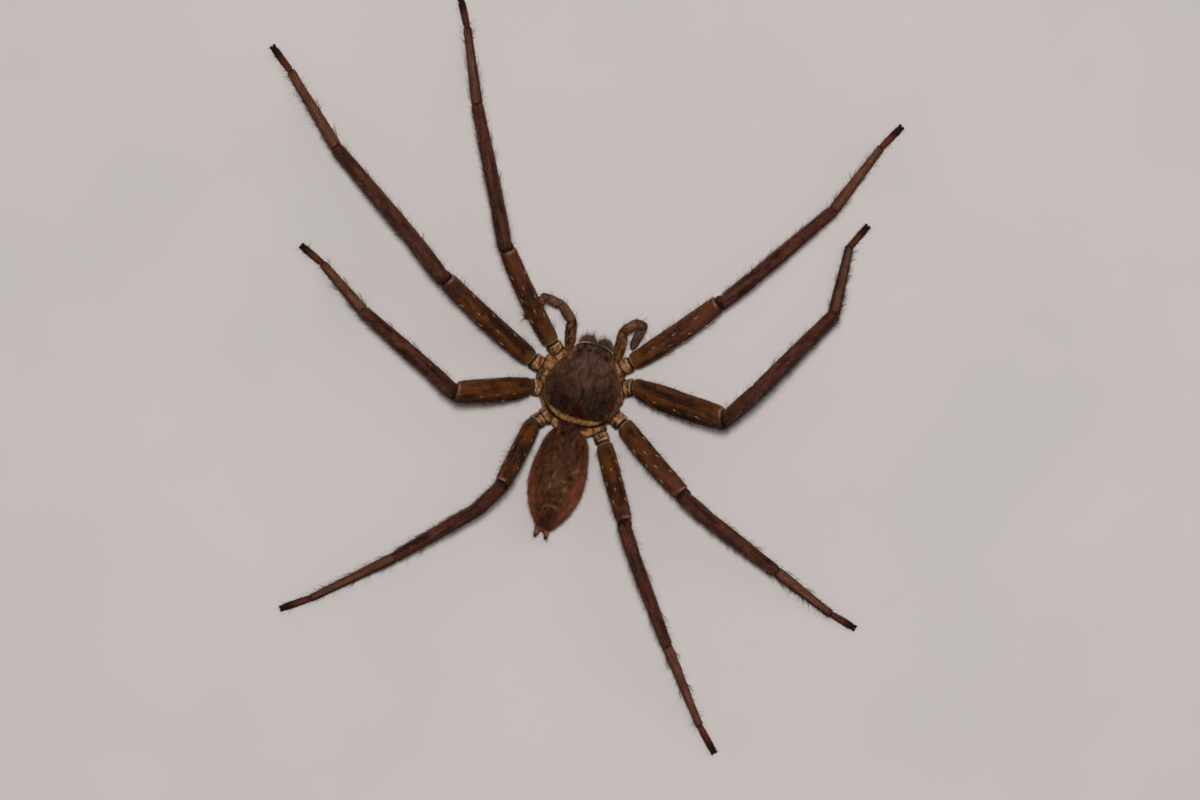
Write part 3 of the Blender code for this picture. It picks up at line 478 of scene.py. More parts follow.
def leg_tone(name, station, up, back, place):
    """The zone and the colour of a leg where its surface faces up and back by so much."""
    title, share, zone = station.title, station.share, station.title
    broad = noise.noise(place * 1.1)
    fine = noise.noise(place * 2.9)
    streak = noise.noise(Vector((up * 1.9, back * 1.9 + 7 * LEGS[name].pair, station.along * 0.30)))
    colour = mix(RED_BROWN, DEEP_BROWN, 0.40 * step(-0.1, 0.4, fine) + 0.50 * step(-0.05, 0.30, streak))
    if title in ("coxa", "trochanter"):
        colour = tissue_tone(place) * 1.2
    if title == "femur":
        olive = mix(OLIVE, OLIVE_DARK, step(-0.20, 0.40, 0.4 * broad + 0.5 * fine + 0.9 * streak))
        olive = mix(olive, TAN * 0.5, 0.4 * step(1.6, 0.4, station.start))
        colour = mix(olive, RED_BROWN, REDNESS[name] * step(0.25, 1.0, share))
    if title == "metatarsus":
        colour = mix(RED_BROWN, STRIP, 0.7 * step(0.35, 0.85, up))
        colour = mix(colour, DEEP_BROWN, 0.6 * step(0.93, 0.99, share))
        groove = step(0.15, 0.45, back * GROOVE_SIDE.get(name, 0)) * step(0.95, 0.75, up)
        colour = mix(colour, DEEP_BROWN, 0.8 * groove)
    if title == "tarsus":
        colour = mix(RUST, PURPLE, step(0.45, 0.75, share))
    # Painted shade: the hind side darkens, and on the hips the side that faces back and down
    shade = HIND_SHADE[name] * step(0.30, 0.95, back)
    if title in ("coxa", "trochanter"):
        shade = 0.6 * step(0.05, 0.60, 0.85 * back - 0.45 * up)
    else:
        # Painted light: lighter, paler sides stand in for the light that fur catches at its edges
        side_light = step(0.95, 0.15, up) * (1 - HIND_SHADE[name] * step(0.0, 0.5, back))
        colour = colour * mix(0.96, 1.5, side_light) * (0.8 if title == "patella" else 1.0)
        colour = mix(colour, STRIP * 0.7, 0.40 * side_light)
    colour = mix(colour, DEEP_BROWN, shade)
    if title == "trochanter":
        # A thin line of dark joint skin at the end, and on the hind side a wider crescent of painted shade in
        # the hollow before the thigh
        joint_and_hollow_shade = step(0.30, 0.24, station.end) + step(0.72, 0.60, station.end) * step(0.1, 0.6, back)
        colour = mix(colour, PURPLE * 0.5, 0.92 * min(1.0, joint_and_hollow_shade))
    if title == "trochanter" and 0.30 < station.end < 0.38:
        colour, zone = mix(colour, CREAM, 0.85 * (1 - shade) * step(0.9, 0.3, back)), "rim"
    if title == "femur" and station.start < 0.30:
        colour, zone = mix(colour, CREAM, 0.85 * (1 - shade) * step(0.14, 0.18, station.start)), "rim"
    if title == "femur" and station.end < 0.30:
        colour, zone = mix(colour, PINK_CREAM, 0.8 * step(-0.4, 0.3, -back) * (1 - shade)), "rim"
    soft = max(step(0.16, 0.10, station.start), step(0.16, 0.08, station.end))
    if title in ("tibia", "tarsus"):
        soft = step(0.14, 0.04, station.start) * 0.7
    if title == "patella":
        # Painted shade in the hollow behind the thigh's end, on the upper front of the knee
        knee_hollow_shade = step(-0.1, 0.4, up) * step(0.60, 0.25, station.start) * step(-0.7, -0.3, back)
        colour = mix(colour, PURPLE * 0.4, 0.9 * knee_hollow_shade)
        soft = step(0.20, 0.12, station.start)
    return zone, mix(colour, PURPLE * 0.6, soft)


print("soft tissue:", tissue_tone(Vector((1, 2, 3))).round(3))

# %% [markdown]
# ## Extruding a limb
# Each limb is a capped circle that is extruded once for every ring, and the new cap is moved to its
# place. The cap that was left behind would be a wall inside the limb, so it is deleted.

# %% Extrude a limb through its rings
FLOOR_GAP = 0.02
# How far apart the grain's pattern is read for two shells, so that no two legs look alike
GRAIN_APART = 9.0


def ring_points(station, sides):
    """The points of one ring, slid along the limb on to the ring's plane, and their directions."""
    across, upright = axes_of(station.ahead)
    turn = Matrix.Rotation(station.roll, 3, station.ahead)
    points = []
    for number in range(sides):
        angle = 2 * math.pi * number / sides
        level = across * math.cos(angle) * station.width / 2
        spoke = turn @ (level + upright * math.sin(angle) * station.depth / 2)
        point = station.at + spoke
        lean = station.ahead.dot(station.plane)
        point += station.ahead * ((station.at - point).dot(station.plane) / lean)
        outward = spoke.normalized()
        points.append((point, outward, outward.dot(upright), outward.dot(across)))
    return points


def make_object(name, bm):
    """Turn a bmesh in millimetres into an object in metres."""
    bmesh.ops.recalc_face_normals(bm, faces=bm.faces)
    bmesh.ops.scale(bm, vec=(MM, MM, MM), verts=bm.verts)
    mesh = bpy.data.meshes.new(name)
    bm.to_mesh(mesh)
    bm.free()
    mesh.shade_smooth()
    return link(bpy.data.objects.new(name, mesh))


def extrude_rings(bm, stations, sides):
    """Extrude a closed tube, ring by ring: each ring's station, with its vertices and their points."""
    cap = bmesh.ops.create_circle(bm, cap_ends=True, segments=sides, radius=1.0)["verts"][0].link_faces[0]
    for number, station in enumerate(stations):
        if number > 0:
            grown = bmesh.ops.extrude_face_region(bm, geom=[cap])["geom"]
            if number > 1:
                bmesh.ops.delete(bm, geom=[cap], context="FACES_ONLY")
            cap = next(item for item in grown if isinstance(item, bmesh.types.BMFace))
        for loop, point in zip(cap.loops, ring_points(station, sides)):
            yield station, loop.vert, *point


def extrude_limb(name, stations, sides, front, paint, on_floor=False):
    """One closed tube through all the stations, with a note for each of its points."""
    shell, bm = new_shell(name)
    for station, vert, point, outward, up, side in extrude_rings(bm, stations, sides):
        wave = noise.noise(point * 1.1) * 0.020 + noise.noise(point * 3.7) * 0.012
        place = point + outward * wave
        if on_floor:
            place.z = max(place.z, FLOOR_GAP)
        vert.co = place
        zone, colour = paint(station, up, -front * side, place)
        radius = (station.width + station.depth) / 4
        grain = (up * radius, side * radius + GRAIN_APART * shell, station.along * 0.14)
        flat = (station.along / stations[-1].along, up, side)
        note(place, station.ahead, colour, grain, flat, room=station.end, zone=zone, shell=shell)
    return make_object(name, bm)


def make_leg_skin(name):
    stations = limb_stations(leg_joints(name), LEG_TABLES, STOUTNESS[LEGS[name].pair], *femur_bend(name))
    return extrude_limb("leg_" + name, stations, LEG_SIDES, side_of(name),
                        lambda *where: leg_tone(name, *where), on_floor=True)


leg_skins = [make_leg_skin(name) for name in LEGS]
print("leg skins:", len(leg_skins), "points:", len(notes["place"]))

# %% [markdown]
# ## Knees
# On the front side of each knee a reddish knob, the hinge of the joint, fills the corner between the
# square end of the thigh and the narrower knee segment. A small squashed ball makes it.

# %% Set a knob at each knee
KNOB = (0.56, 0.34, 0.56)
KNOB_AT = (0.26, 0.48, -0.16)


def make_ball(name, placed, radii, zone, lie, paint):
    """A squashed ball with a note for each point."""
    shell, bm = new_shell(name)
    bmesh.ops.create_uvsphere(bm, u_segments=20, v_segments=12, radius=1.0)
    for vert in bm.verts:
        spot = vert.co.copy()
        place = placed @ Vector([part * radius for part, radius in zip(spot, radii)])
        vert.co = place
        around = 0.5 + math.atan2(spot.y, spot.x) / (2 * math.pi)
        flat = (around, spot.z, spot.y)
        note(place, lie, paint(place), place / 3, flat, room=0.3, zone=zone, shell=shell)
    return make_object(name, bm)


def knob_tone(place):
    return mix(KNEE_RED, PURPLE, 0.85 * step(-0.1, 0.30, noise.noise(place * 2.5)))


def make_knob(name):
    joints = leg_joints(name)
    ahead = (joints[4] - joints[3]).normalized()
    across, upright = [axis * side_of(name) for axis in axes_of(ahead)]
    stout = STOUTNESS[LEGS[name].pair]
    axes = Matrix((ahead, across, upright)).transposed().to_4x4()
    place = joints[3] + (ahead * KNOB_AT[0] + across * KNOB_AT[1] + Vector((0, 0, KNOB_AT[2]))) * stout
    radii = [size * stout for size in KNOB]
    return make_ball("leg_" + name, Matrix.Translation(place) @ axes, radii, "knob", ahead, knob_tone)


knobs = [make_knob(name) for name in LEGS]
print("knobs:", len(knobs))

# %% [markdown]
# ## Claw tufts
# A huntsman walks on two brushes of fine hair that fork at the end of each foot. They are short, wide
# lobes under the tip, and fur is added to them later. They are extruded as the legs are.

# %% The two lobes under each foot
# Length, width, and the angle between a lobe and its foot
PADS = (1.05, 0.42, 13.0)
PAD_ROWS = ((0.0, 0.85), (0.35, 0.95), (0.75, 1.0), (0.92, 0.8), (1.0, 0.45))
PAD_PURPLE = tone("#22120f")


def make_pads(name):
    length, width, spread = PADS
    ankle, tip = leg_joints(name)[-2:]
    ahead = (tip - ankle).normalized()
    lobes = []
    for side in (-1, 1):
        out = Matrix.Rotation(math.radians(spread) * side, 3, "Z") @ ahead
        root = tip - ahead * length * 0.62
        stations = [Station(root + out * length * share, out, out, width * size, width * size * 1.2, 0.0,
                            "pad", share, length * share, length * (1 - share), length * share)
                    for share, size in PAD_ROWS]
        lobes.append(extrude_limb("pad_" + name, stations, 10, 1,
                                  lambda station, up, back, place: ("pad", PAD_PURPLE), on_floor=True))
    return lobes


pad_skins = [lobe for name in LEGS for lobe in make_pads(name)]
print("lobes:", len(pad_skins))

# %% [markdown]
# ## The feelers
# A pair of feelers, the palps, flanks the jaws. They are built like small legs of six parts without a
# metatarsus. In the photograph both curl back beside the head, the left one under the first leg.

# %% Build the feelers
PALP_JOINTS = {
    "l": ((-0.95, 2.00, 2.25), (-2.20, 3.10, 2.45), (-3.00, 3.75, 2.60), (-3.63, 6.94, 4.20),
          (-5.26, 8.34, 4.00), (-7.48, 8.68, 2.90), (-9.16, 5.57, 1.30)),
    "r": ((0.95, 2.00, 2.25), (2.10, 3.20, 2.45), (2.85, 3.95, 2.60), (2.69, 7.42, 4.40),
          (3.79, 8.69, 4.90), (4.75, 8.70, 3.10), (4.19, 5.68, 0.90)),
}
PALP_TABLES = (
    ("coxa", ((0, 0, 0.85, 0.85), (0.5, 0, 1.02, 1.02), (1, -0.1, 0.98, 0.98))),
    ("trochanter", ((0, 0, 0.86, 0.86), (0.4, 0, 1.0, 1.0), (1, -0.12, 0.92, 0.92))),
    ("femur", ((0, 0, 0.74, 0.74), (0, 0.16, 0.98, 0.98), (0.4, 0, 1.25, 1.28), (0.75, 0, 1.22, 1.25),
               (1, -0.14, 1.05, 1.05))),
    ("patella", ((0, 0, 0.84, 0.84), (0, 0.14, 1.02, 1.02), (0.5, 0, 1.14, 1.14), (1, -0.12, 1.0, 1.0))),
    ("tibia", ((0, 0, 0.82, 0.82), (0, 0.14, 1.0, 1.0), (0.5, 0, 1.10, 1.10), (1, -0.12, 0.96, 0.96))),
    ("tarsus", ((0, 0, 0.80, 0.80), (0, 0.14, 0.95, 0.95), (0.3, 0, 1.04, 1.04), (0.65, 0, 0.96, 0.96),
                (0.88, 0, 0.68, 0.68), (0.97, 0, 0.38, 0.38))),
)
PALP_SIDES = 18
PALP_OCHRE = tone("#6c4626")
PALP_PURPLE = tone("#75503f")


def palp_paint(station, up, back, place):
    fine = noise.noise(place * 2.6)
    broad = noise.noise(place * 1.2 + Vector((0, 5, 0)))
    colour = mix(PALP_OCHRE, DEEP_BROWN * 0.8, 0.9 * step(-0.08, 0.25, fine))
    if station.title in ("patella", "tibia", "tarsus"):
        colour = mix(PALP_PURPLE, PALP_OCHRE * 0.8, step(0.0, 0.3, broad) * (station.title == "patella"))
        colour = mix(colour, DEEP_BROWN, 0.6 * step(0.0, 0.4, fine))
    # Painted shade on the hind side and underneath
    colour = mix(colour, DEEP_BROWN, 0.8 * step(0.1, 0.8, 0.7 * back - 0.6 * up))
    if station.start < 0.12 or station.end < 0.10:
        colour = PURPLE
    return "palp_tarsus" if station.title == "tarsus" else "palp", colour


def make_palp_skin(letter):
    joints = [BODY @ Vector(joint) for joint in PALP_JOINTS[letter]]
    stations = limb_stations(joints, PALP_TABLES, 1.0)
    return extrude_limb("palp_" + letter, stations, PALP_SIDES, side_of(letter), palp_paint)


palp_skins = [make_palp_skin(letter) for letter in "lr"]
print("feelers:", len(palp_skins))

# %% [markdown]
# ## The back shield
# The shield is low, almost round and cut off square in front, where the eyes look out over a pale
# edge. A short groove in its middle is where muscles pull from inside, and faint furrows run from it
# towards the legs. A sphere whose rings take their widths and heights from a table gives the form, and
# a second function sinks the furrows and lifts a low rim round each eye.

# %% The form of the back shield
CARAPACE = (
    (5.05, 0.00, 4.35, 4.35, 4.35), (5.00, 1.10, 4.85, 4.10, 3.60), (4.75, 1.85, 5.10, 3.95, 3.40),
    (4.40, 2.35, 5.30, 3.85, 3.30), (3.80, 2.60, 5.60, 3.80, 3.30), (3.00, 3.10, 5.85, 3.75, 3.30),
    (1.90, 3.75, 6.00, 3.70, 3.35), (0.60, 4.35, 6.10, 3.70, 3.35), (-0.90, 4.68, 6.15, 3.70, 3.35),
    (-2.30, 4.55, 6.00, 3.70, 3.35), (-3.40, 4.00, 5.60, 3.70, 3.35), (-4.20, 3.30, 5.00, 3.70, 3.35),
    (-4.75, 2.40, 4.45, 3.70, 3.40), (-5.03, 1.30, 4.05, 3.72, 3.50), (-5.10, 0.00, 3.75, 3.75, 3.75),
)
SHIELD_SIDES = 160
SHIELD_RINGS = 96
SHIELD_INSET = 0.10
# Front middle, front outer, rear middle and rear outer eyes: place across, place ahead and radius
EYES = ((0.42, 4.80, 0.20), (1.20, 4.55, 0.32), (0.50, 4.05, 0.24), (1.72, 3.70, 0.31))
FOVEA_FRONT = -0.40
FOVEA_BACK = -2.15
FOVEA_LEAN = (0.06, 0.10)
FURROW_ANGLES = (58.0, 96.0, 136.0)


def read_sections(sections, share):
    """The section of a soft form at a share of the way from its first row to its last."""
    places = np.arange(len(sections)) / (len(sections) - 1)
    return smooth_curve(places, sections, [share])[0]


def soft_point(sections, across, up, share):
    """A point of a soft form from its direction round the axis and its share along it."""
    y, half_width, top, rim, low = read_sections(sections, share)
    reach = top - rim if up > 0 else rim - low
    return Vector((half_width * across, y, rim + reach * up))


def groove_depth(x, y, width):
    """1 in the middle of the groove, which leans a little to one side, and 0 outside it."""
    middle = FOVEA_LEAN[0] + (FOVEA_FRONT - y) * FOVEA_LEAN[1]
    along = step(FOVEA_FRONT + 0.15, FOVEA_FRONT - 0.35, y) * step(FOVEA_BACK - 0.15, FOVEA_BACK + 0.2, y)
    return bell(x - middle, width) * along


def shield_relief(x, y):
    """How far a point of the shield's top is lifted or sunk."""
    lift = -0.30 * groove_depth(x, y, 0.08) - 0.05 * groove_depth(x, y, 0.4)
    ahead = y - (FOVEA_FRONT + FOVEA_BACK) / 2
    radius = math.hypot(x, ahead)
    angle = math.degrees(math.atan2(abs(x), ahead))
    for furrow in FURROW_ANGLES:
        lift -= 0.07 * bell(angle - furrow, 6) * step(0.6, 1.4, radius) * step(4.2, 3.2, radius)
    neck = abs(abs(x) - 0.62 * (y + 1.2))
    lift -= 0.08 * bell(neck, 0.30) * step(-1.0, 0.2, y) * step(3.6, 2.6, y)
    for eye_x, eye_y, eye_radius in EYES:
        lift += 0.09 * bell(math.hypot(abs(x) - eye_x, y - eye_y) - eye_radius, 0.13)
    return lift


print("groove sinks", round(shield_relief(0, -1.2), 2), "mm")

# %% [markdown]
# ## The shield's colours
# Short grey-brown fur covers the shield. Its rear edge carries an ochre band, its front edge a cream
# line, and behind the groove lies a dark red triangle. The distance from the shield's edge, seen from
# above, decides where band and line run.

# %% Colour a point of the shield
SHIELD_BROWN = tone("#5e3d2a")
SHIELD_FRONT = tone("#66463a")
SHIELD_SIDE_FUZZ_AND_LIGHT = tone("#9a6c48")
SHIELD_DARK = tone("#1f0e08")
OCHRE = tone("#c39252")
EDGE_RED_AND_SHADE = tone("#2f0c06")
MARK_RED = tone("#3c0905")
# Shadows as place across, place ahead, spread and weight
SHADOWS = ((-1.7, -2.7, 1.7, 0.92), (1.9, -2.3, 1.8, 0.84), (-3.0, 0.4, 1.2, 0.15))
# The distance from the edge to which painted shadow darkens the front of the shield, behind the cream line
FRONT_SHADOW = (0.38, 0.28)
SHIELD_EDGE = [Vector((half * side, y)) for side in (-1, 1)
               for y, half in [tuple(read_sections(CARAPACE, number / 60)[:2]) for number in range(61)]]


def edge_distance(x, y):
    return min(math.hypot(x - point.x, y - point.y) for point in SHIELD_EDGE)


def shield_tone(x, y, up):
    """The zone and the colour of the shield at a place of the body frame."""
    edge = edge_distance(x, y)
    speck = noise.noise(Vector((x, y, 0)) * 3.0)
    angle = math.atan2(x, y + 1.25)
    rays = noise.noise(Vector((math.cos(angle) * 4, math.sin(angle) * 4, 0.5 * math.hypot(x, y + 1.25))))
    colour = mix(SHIELD_BROWN, SHIELD_FRONT, step(0.0, 2.5, y) * step(3.4, 1.4, abs(x)))
    colour = mix(colour, SHIELD_DARK, 0.22 + 0.45 * rays + 0.35 * speck + 0.3 * step(0.4, -0.8, y))
    for *where, weight in SHADOWS:
        colour = mix(colour, SHIELD_DARK, weight * blot(x, y, *where))
    # Lighter towards the side edges: golden fuzz there, and painted light that makes up for the shade of the
    # steep sides
    colour = mix(colour, SHIELD_SIDE_FUZZ_AND_LIGHT, 0.75 * step(1.05, 0.10, edge + 0.35 * speck) * step(-3.4, -2.6, y))
    eyes_near = max(bell(math.hypot(abs(x) - eye_x, y - eye_y), 0.48) for eye_x, eye_y, _ in EYES)
    colour = mix(colour, DEEP_BROWN * 0.6, 0.88 * eyes_near)
    zone = "head" if y > 3.3 else "shield"
    middle = 0.28 + 0.04 * (-2.2 - y)
    mark = step(-2.10, -2.45, y) * step(0.20, -0.30, abs(x - middle) - 0.66 * (-2.05 - y) + 0.3 * speck)
    colour = mix(colour, MARK_RED, 0.92 * mark)
    groove = groove_depth(x, y, 0.15)
    # Painted shade in the groove: it is darkened to near-black
    colour = mix(colour, MARK_RED * 0.15, min(1.0, 1.8 * groove))
    colour = mix(colour, PINK_CREAM, 0.6 * blot(x, y, 0.20, -2.00, 0.006))
    zone = "brow" if groove > 0.75 else zone
    wide = 0.50 + 0.62 * step(-3.1, -4.2, y) - 0.30 * step(1.6, 2.8, x) + 0.16 * speck
    inner = 0.20 + 0.22 * step(-3.1, -3.8, y)
    band = step(-2.7, -3.2, y) * step(inner - 0.05, inner + 0.05, edge) * step(wide + 0.06, wide - 0.06, edge)
    if y < -2.4:
        # The rear rim: the edge's own dark red, and painted shade of the steep edge
        colour = mix(colour, EDGE_RED_AND_SHADE, step(0.54, 0.40, edge) * step(-3.1, -3.8, y))
    colour = mix(colour, mix(OCHRE, TAN * 0.7, step(0.0, 0.4, speck)), 0.95 * band)
    if band > 0.4:
        zone = "band"
    if y > 4.0:
        # Painted shadow behind the cream line
        strip = step(*FRONT_SHADOW, edge)
        colour = mix(colour, DEEP_BROWN * 0.6, strip)
        zone = "brow" if strip > 0.5 else zone
    if up < -0.05 and y < 4.3:
        colour = tissue_tone(Vector((x, y, up)))
        zone = "flesh"
    return zone, colour


print("middle of the back:", shield_tone(0.8, 0.5, 1)[1].round(3))

# %% [markdown]
# ## Soft forms
# Shield, abdomen and breast plate are all balls drawn out along one axis. A sphere is created with its
# poles at the two ends, and each of its points is moved to the section that the table gives there.

# %% Build the shield's skin
# More room than any hair is long
OPEN_ROOM = 9.0


def plain_relief(x, y):
    return 0.0


def rearward(x, y, up):
    return (0.0, -1.0, 0.0)


def make_soft_form(name, sections, sides, rings, placed, paint, relief=plain_relief, lie=rearward):
    """A sphere shaped by a table, with a note for each point."""
    shell, bm = new_shell(name)
    bmesh.ops.create_uvsphere(bm, u_segments=sides, v_segments=rings, radius=1.0)
    for vert in bm.verts:
        across, up, end = vert.co
        ring = math.hypot(across, up)
        share = math.acos(max(-1.0, min(1.0, end))) / math.pi
        across, up = (across / ring, up / ring) if ring > 1e-4 else (0.0, 1.0)
        point = soft_point(sections, across, up, share)
        point.z += relief(point.x, point.y) * step(0.0, 0.3, up)
        point += noise.noise(point * 0.9) * 0.03 * Vector((across, 0, up))
        zone, colour = paint(point.x, point.y, up)
        run = placed.to_3x3() @ Vector(lie(point.x, point.y, up))
        place = placed @ point
        vert.co = place
        grain = (point.x, point.z + GRAIN_APART * shell, point.y * 0.2)
        flat = (share, up, across)
        note(place, run.normalized(), colour, grain, flat, room=OPEN_ROOM, zone=zone, shell=shell)
    return make_object(name, bm)


def shield_lie(x, y, up):
    """Fur on the shield runs outwards from the groove and forwards over the head."""
    return (x * 0.9, y + 1.25, 0.0) if abs(x) + abs(y + 1.25) > 0.05 else (0.0, -1.0, 0.0)


inner_shield = [(y * 0.98, max(0.0, half - SHIELD_INSET), top - SHIELD_INSET, rim, low)
                for y, half, top, rim, low in CARAPACE]
shield_skin = make_soft_form("shield", inner_shield, SHIELD_SIDES, SHIELD_RINGS, BODY, shield_tone,
                             shield_relief, shield_lie)
print("shield points:", len(shield_skin.data.vertices))

# %% [markdown]
# ## The abdomen
# The abdomen is a long, soft oval. Its middle is dark brown, its flanks are russet, most so towards the
# end. Two pairs of small dimples mark where muscles are fixed inside, with pale smudges behind them and
# faint pale arcs near the end.

# %% Build the abdomen's skin
ABDOMEN = (
    (0.00, 0.00, 3.70, 3.70, 3.70), (0.15, 1.20, 4.50, 3.70, 2.90), (0.60, 1.90, 5.00, 3.70, 2.40),
    (1.80, 2.68, 5.60, 3.70, 1.80), (3.60, 3.10, 6.00, 3.70, 1.45), (5.40, 3.38, 6.20, 3.65, 1.30),
    (6.90, 3.40, 6.20, 3.60, 1.30), (8.30, 3.20, 6.00, 3.50, 1.35), (9.80, 2.74, 5.50, 3.40, 1.55),
    (10.90, 2.15, 4.90, 3.30, 1.80), (11.90, 1.50, 4.20, 3.20, 2.20), (12.60, 0.80, 3.60, 3.10, 2.60),
    (12.90, 0.00, 3.10, 3.10, 3.10),
)
ABDOMEN_FRONT = Vector((-0.16, -5.30, 0.0))
ABDOMEN_REAR = Vector((0.30, -18.20, 0.0))
ABDOMEN_INSET = 0.14
ABDOMEN_SIDES = 88
ABDOMEN_RINGS = 84
# Muscle dimples as place across, place back and depth, and pale marks with their size across and back
DIMPLES = ((-0.86, 5.96, 0.14), (1.45, 6.01, 0.14), (-0.55, 4.07, 0.07), (1.35, 4.07, 0.06))
PALE_MARKS = ((-0.46, 5.95, 0.16, 0.40), (-0.70, 7.35, 0.26, 0.34), (1.17, 7.40, 0.34, 0.28),
              (0.78, 6.45, 0.38, 0.12))
STREAK = ((1.50, 5.45), (2.10, 4.75), 0.17)
# Folds across the end as places back, and pale arcs as place back and weight
FOLDS = (9.0, 9.7, 10.4, 11.1, 11.7)
PALE_ARCS = ((9.62, 0.6), (8.75, 0.15), (10.35, 0.15))
ABDOMEN_BROWN = tone("#62391f")
ABDOMEN_DARK = tone("#26100a")
RUSSET = tone("#85472e")
PALE_BROWN = tone("#946649")


def abdomen_matrix():
    back = ABDOMEN_REAR - ABDOMEN_FRONT
    turn = math.atan2(back.x, -back.y)
    return BODY @ Matrix.Translation(ABDOMEN_FRONT) @ Matrix.Rotation(turn, 4, "Z")


def abdomen_relief(x, y):
    lift = 0.0
    for across, back, depth in DIMPLES:
        lift -= depth * blot(x, y, across, -back, 0.035)
    for fold in FOLDS:
        lift -= 0.035 * bell(-y - fold - 0.10 * (x - 0.2) ** 2, 0.12) * step(2.2, 1.2, abs(x))
    return lift


def abdomen_tone(x, y, up):
    back = -y
    half = float(np.interp(back, [row[0] for row in ABDOMEN], [row[1] for row in ABDOMEN]))
    side = abs(x) / max(0.4, half)
    broad = noise.noise(Vector((x * 0.9, y * 0.5, 2.0)))
    fine = noise.noise(Vector((x * 2.8, y * 1.6, 5.0)))
    colour = mix(ABDOMEN_BROWN, ABDOMEN_DARK, 0.42 + 0.35 * broad + 0.75 * fine + 0.2 * step(4, 1, back))
    lean = 0.12 if x > 0 else -0.04
    flank = step(0.64, 1.04, side + 0.22 * step(4.0, 12.0, back) + lean + 0.22 * fine + 0.12 * broad)
    colour = mix(colour, RUSSET, 0.92 * flank * step(2.0, 7.0, back))
    colour = mix(colour, PALE_BROWN, 0.45 * step(0.80, 1.0, side) * step(6.5, 3.0, back))
    centre = bell(x - 0.3, 0.4) * step(0.3, 1.2, back) * step(7.0, 3.0, back)
    colour = mix(colour, ABDOMEN_DARK, 0.60 * centre)
    colour = mix(colour, ABDOMEN_DARK, 0.5 * bell(x - 0.2, 1.3) * step(8.0, 11.0, back))
    for across, place, wide, long in PALE_MARKS:
        spot = math.exp(-(((x - across) / wide) ** 2 + ((back - place) / long) ** 2))
        colour = mix(colour, PALE_BROWN, 0.65 * spot)
    (start_x, start_back), (end_x, end_back), wide = STREAK
    run_x, run_back = end_x - start_x, end_back - start_back
    share = ((x - start_x) * run_x + (back - start_back) * run_back) / (run_x ** 2 + run_back ** 2)
    share = min(1.0, max(0.0, share))
    away = math.hypot(x - mix(start_x, end_x, share), back - mix(start_back, end_back, share))
    colour = mix(colour, PALE_BROWN, 0.7 * bell(away, wide))
    # Painted shade in each dimple, darker the deeper it is, set a little towards its front
    for across, place, depth in DIMPLES:
        spot = math.exp(-((x - across) ** 2 / 0.05 + (back - place + 0.12) ** 2 / 0.13))
        colour = mix(colour, ABDOMEN_DARK * 0.2, min(1.0, 9 * depth * spot))
    for place, weight in PALE_ARCS:
        arc = bell(back - place - 0.22 * (x - 0.2) ** 2, 0.13) * step(1.25, 0.75, abs(x - 0.2))
        colour = mix(colour, PALE_BROWN, weight * arc)
    # Painted shade underneath
    return "abdomen", mix(colour, ABDOMEN_DARK, 0.35 * step(0.1, -0.7, up))


def abdomen_lie(x, y, up):
    return (x * 0.10, -1.0, 0.0)


inner_abdomen = [(-back, max(0.0, half - ABDOMEN_INSET), top - ABDOMEN_INSET, rim, low + ABDOMEN_INSET)
                 for back, half, top, rim, low in ABDOMEN]
abdomen_skin = make_soft_form("abdomen", inner_abdomen, ABDOMEN_SIDES, ABDOMEN_RINGS, abdomen_matrix(),
                              abdomen_tone, abdomen_relief, abdomen_lie)
print("abdomen points:", len(abdomen_skin.data.vertices))

# %% [markdown]
# ## The underside and the parts between
# Under the shield lies a small heart-shaped breast plate, with the lip ahead of it and a lobe of each
# feeler beside the mouth. Soft skin closes the sides between shield and hips, and a thin stalk carries
# the abdomen. They are plainer forms of the same kinds.

# %% Build the breast plate, the soft sides, the stalk and the mouth
STERNUM = (
    (1.50, 0.00, 1.72, 1.72, 1.72), (1.30, 0.95, 1.92, 1.75, 1.55), (0.90, 1.50, 1.95, 1.75, 1.48),
    (0.20, 1.85, 1.95, 1.75, 1.45), (-0.70, 1.88, 1.95, 1.75, 1.45), (-1.60, 1.60, 1.95, 1.75, 1.48),
    (-2.40, 1.05, 1.95, 1.75, 1.52), (-2.90, 0.50, 1.90, 1.75, 1.60), (-3.05, 0.00, 1.75, 1.75, 1.75),
)
SIDES = (
    (3.90, 0.00, 3.00, 3.00, 3.00), (3.60, 2.60, 3.50, 2.90, 2.30), (2.90, 4.10, 3.62, 2.80, 2.00),
    (1.80, 5.05, 3.75, 2.75, 1.85), (0.60, 5.45, 3.85, 2.72, 1.80), (-0.60, 5.40, 3.88, 2.72, 1.80),
    (-1.80, 4.95, 3.85, 2.75, 1.85), (-3.00, 4.25, 3.80, 2.80, 1.95), (-4.00, 3.45, 3.72, 2.90, 2.15),
    (-4.80, 2.40, 3.60, 3.00, 2.50), (-5.10, 0.00, 3.20, 3.20, 3.20),
)
SIDES_SHIFT = -0.42
LABIUM = ((2.40, 0.0, 1.75, 1.75, 1.75), (2.20, 0.32, 1.95, 1.75, 1.55), (1.75, 0.45, 2.03, 1.75, 1.47),
          (1.30, 0.36, 1.98, 1.75, 1.52), (1.10, 0.0, 1.75, 1.75, 1.75))
MAXILLA = ((1.15, 2.10, 2.15, 1.00, 0.80), (1.10, 2.80, 2.00, 1.05, 0.75), (0.95, 3.45, 1.85, 0.70, 0.55))
PEDICEL = tuple((0.0, reach, 3.75, 1.1, 1.1) for reach in (1.2, 0.0, -0.8))
WAIST = ((-4.20, 0.00, 3.50, 3.50, 3.50), (-4.40, 1.80, 3.85, 3.50, 3.00), (-4.85, 2.45, 3.95, 3.55, 2.90),
         (-5.40, 2.50, 4.15, 3.60, 2.80), (-5.95, 1.75, 4.20, 3.60, 2.90), (-6.30, 0.00, 3.60, 3.60, 3.60))
WAIST_RED = tone("#5a2c14")
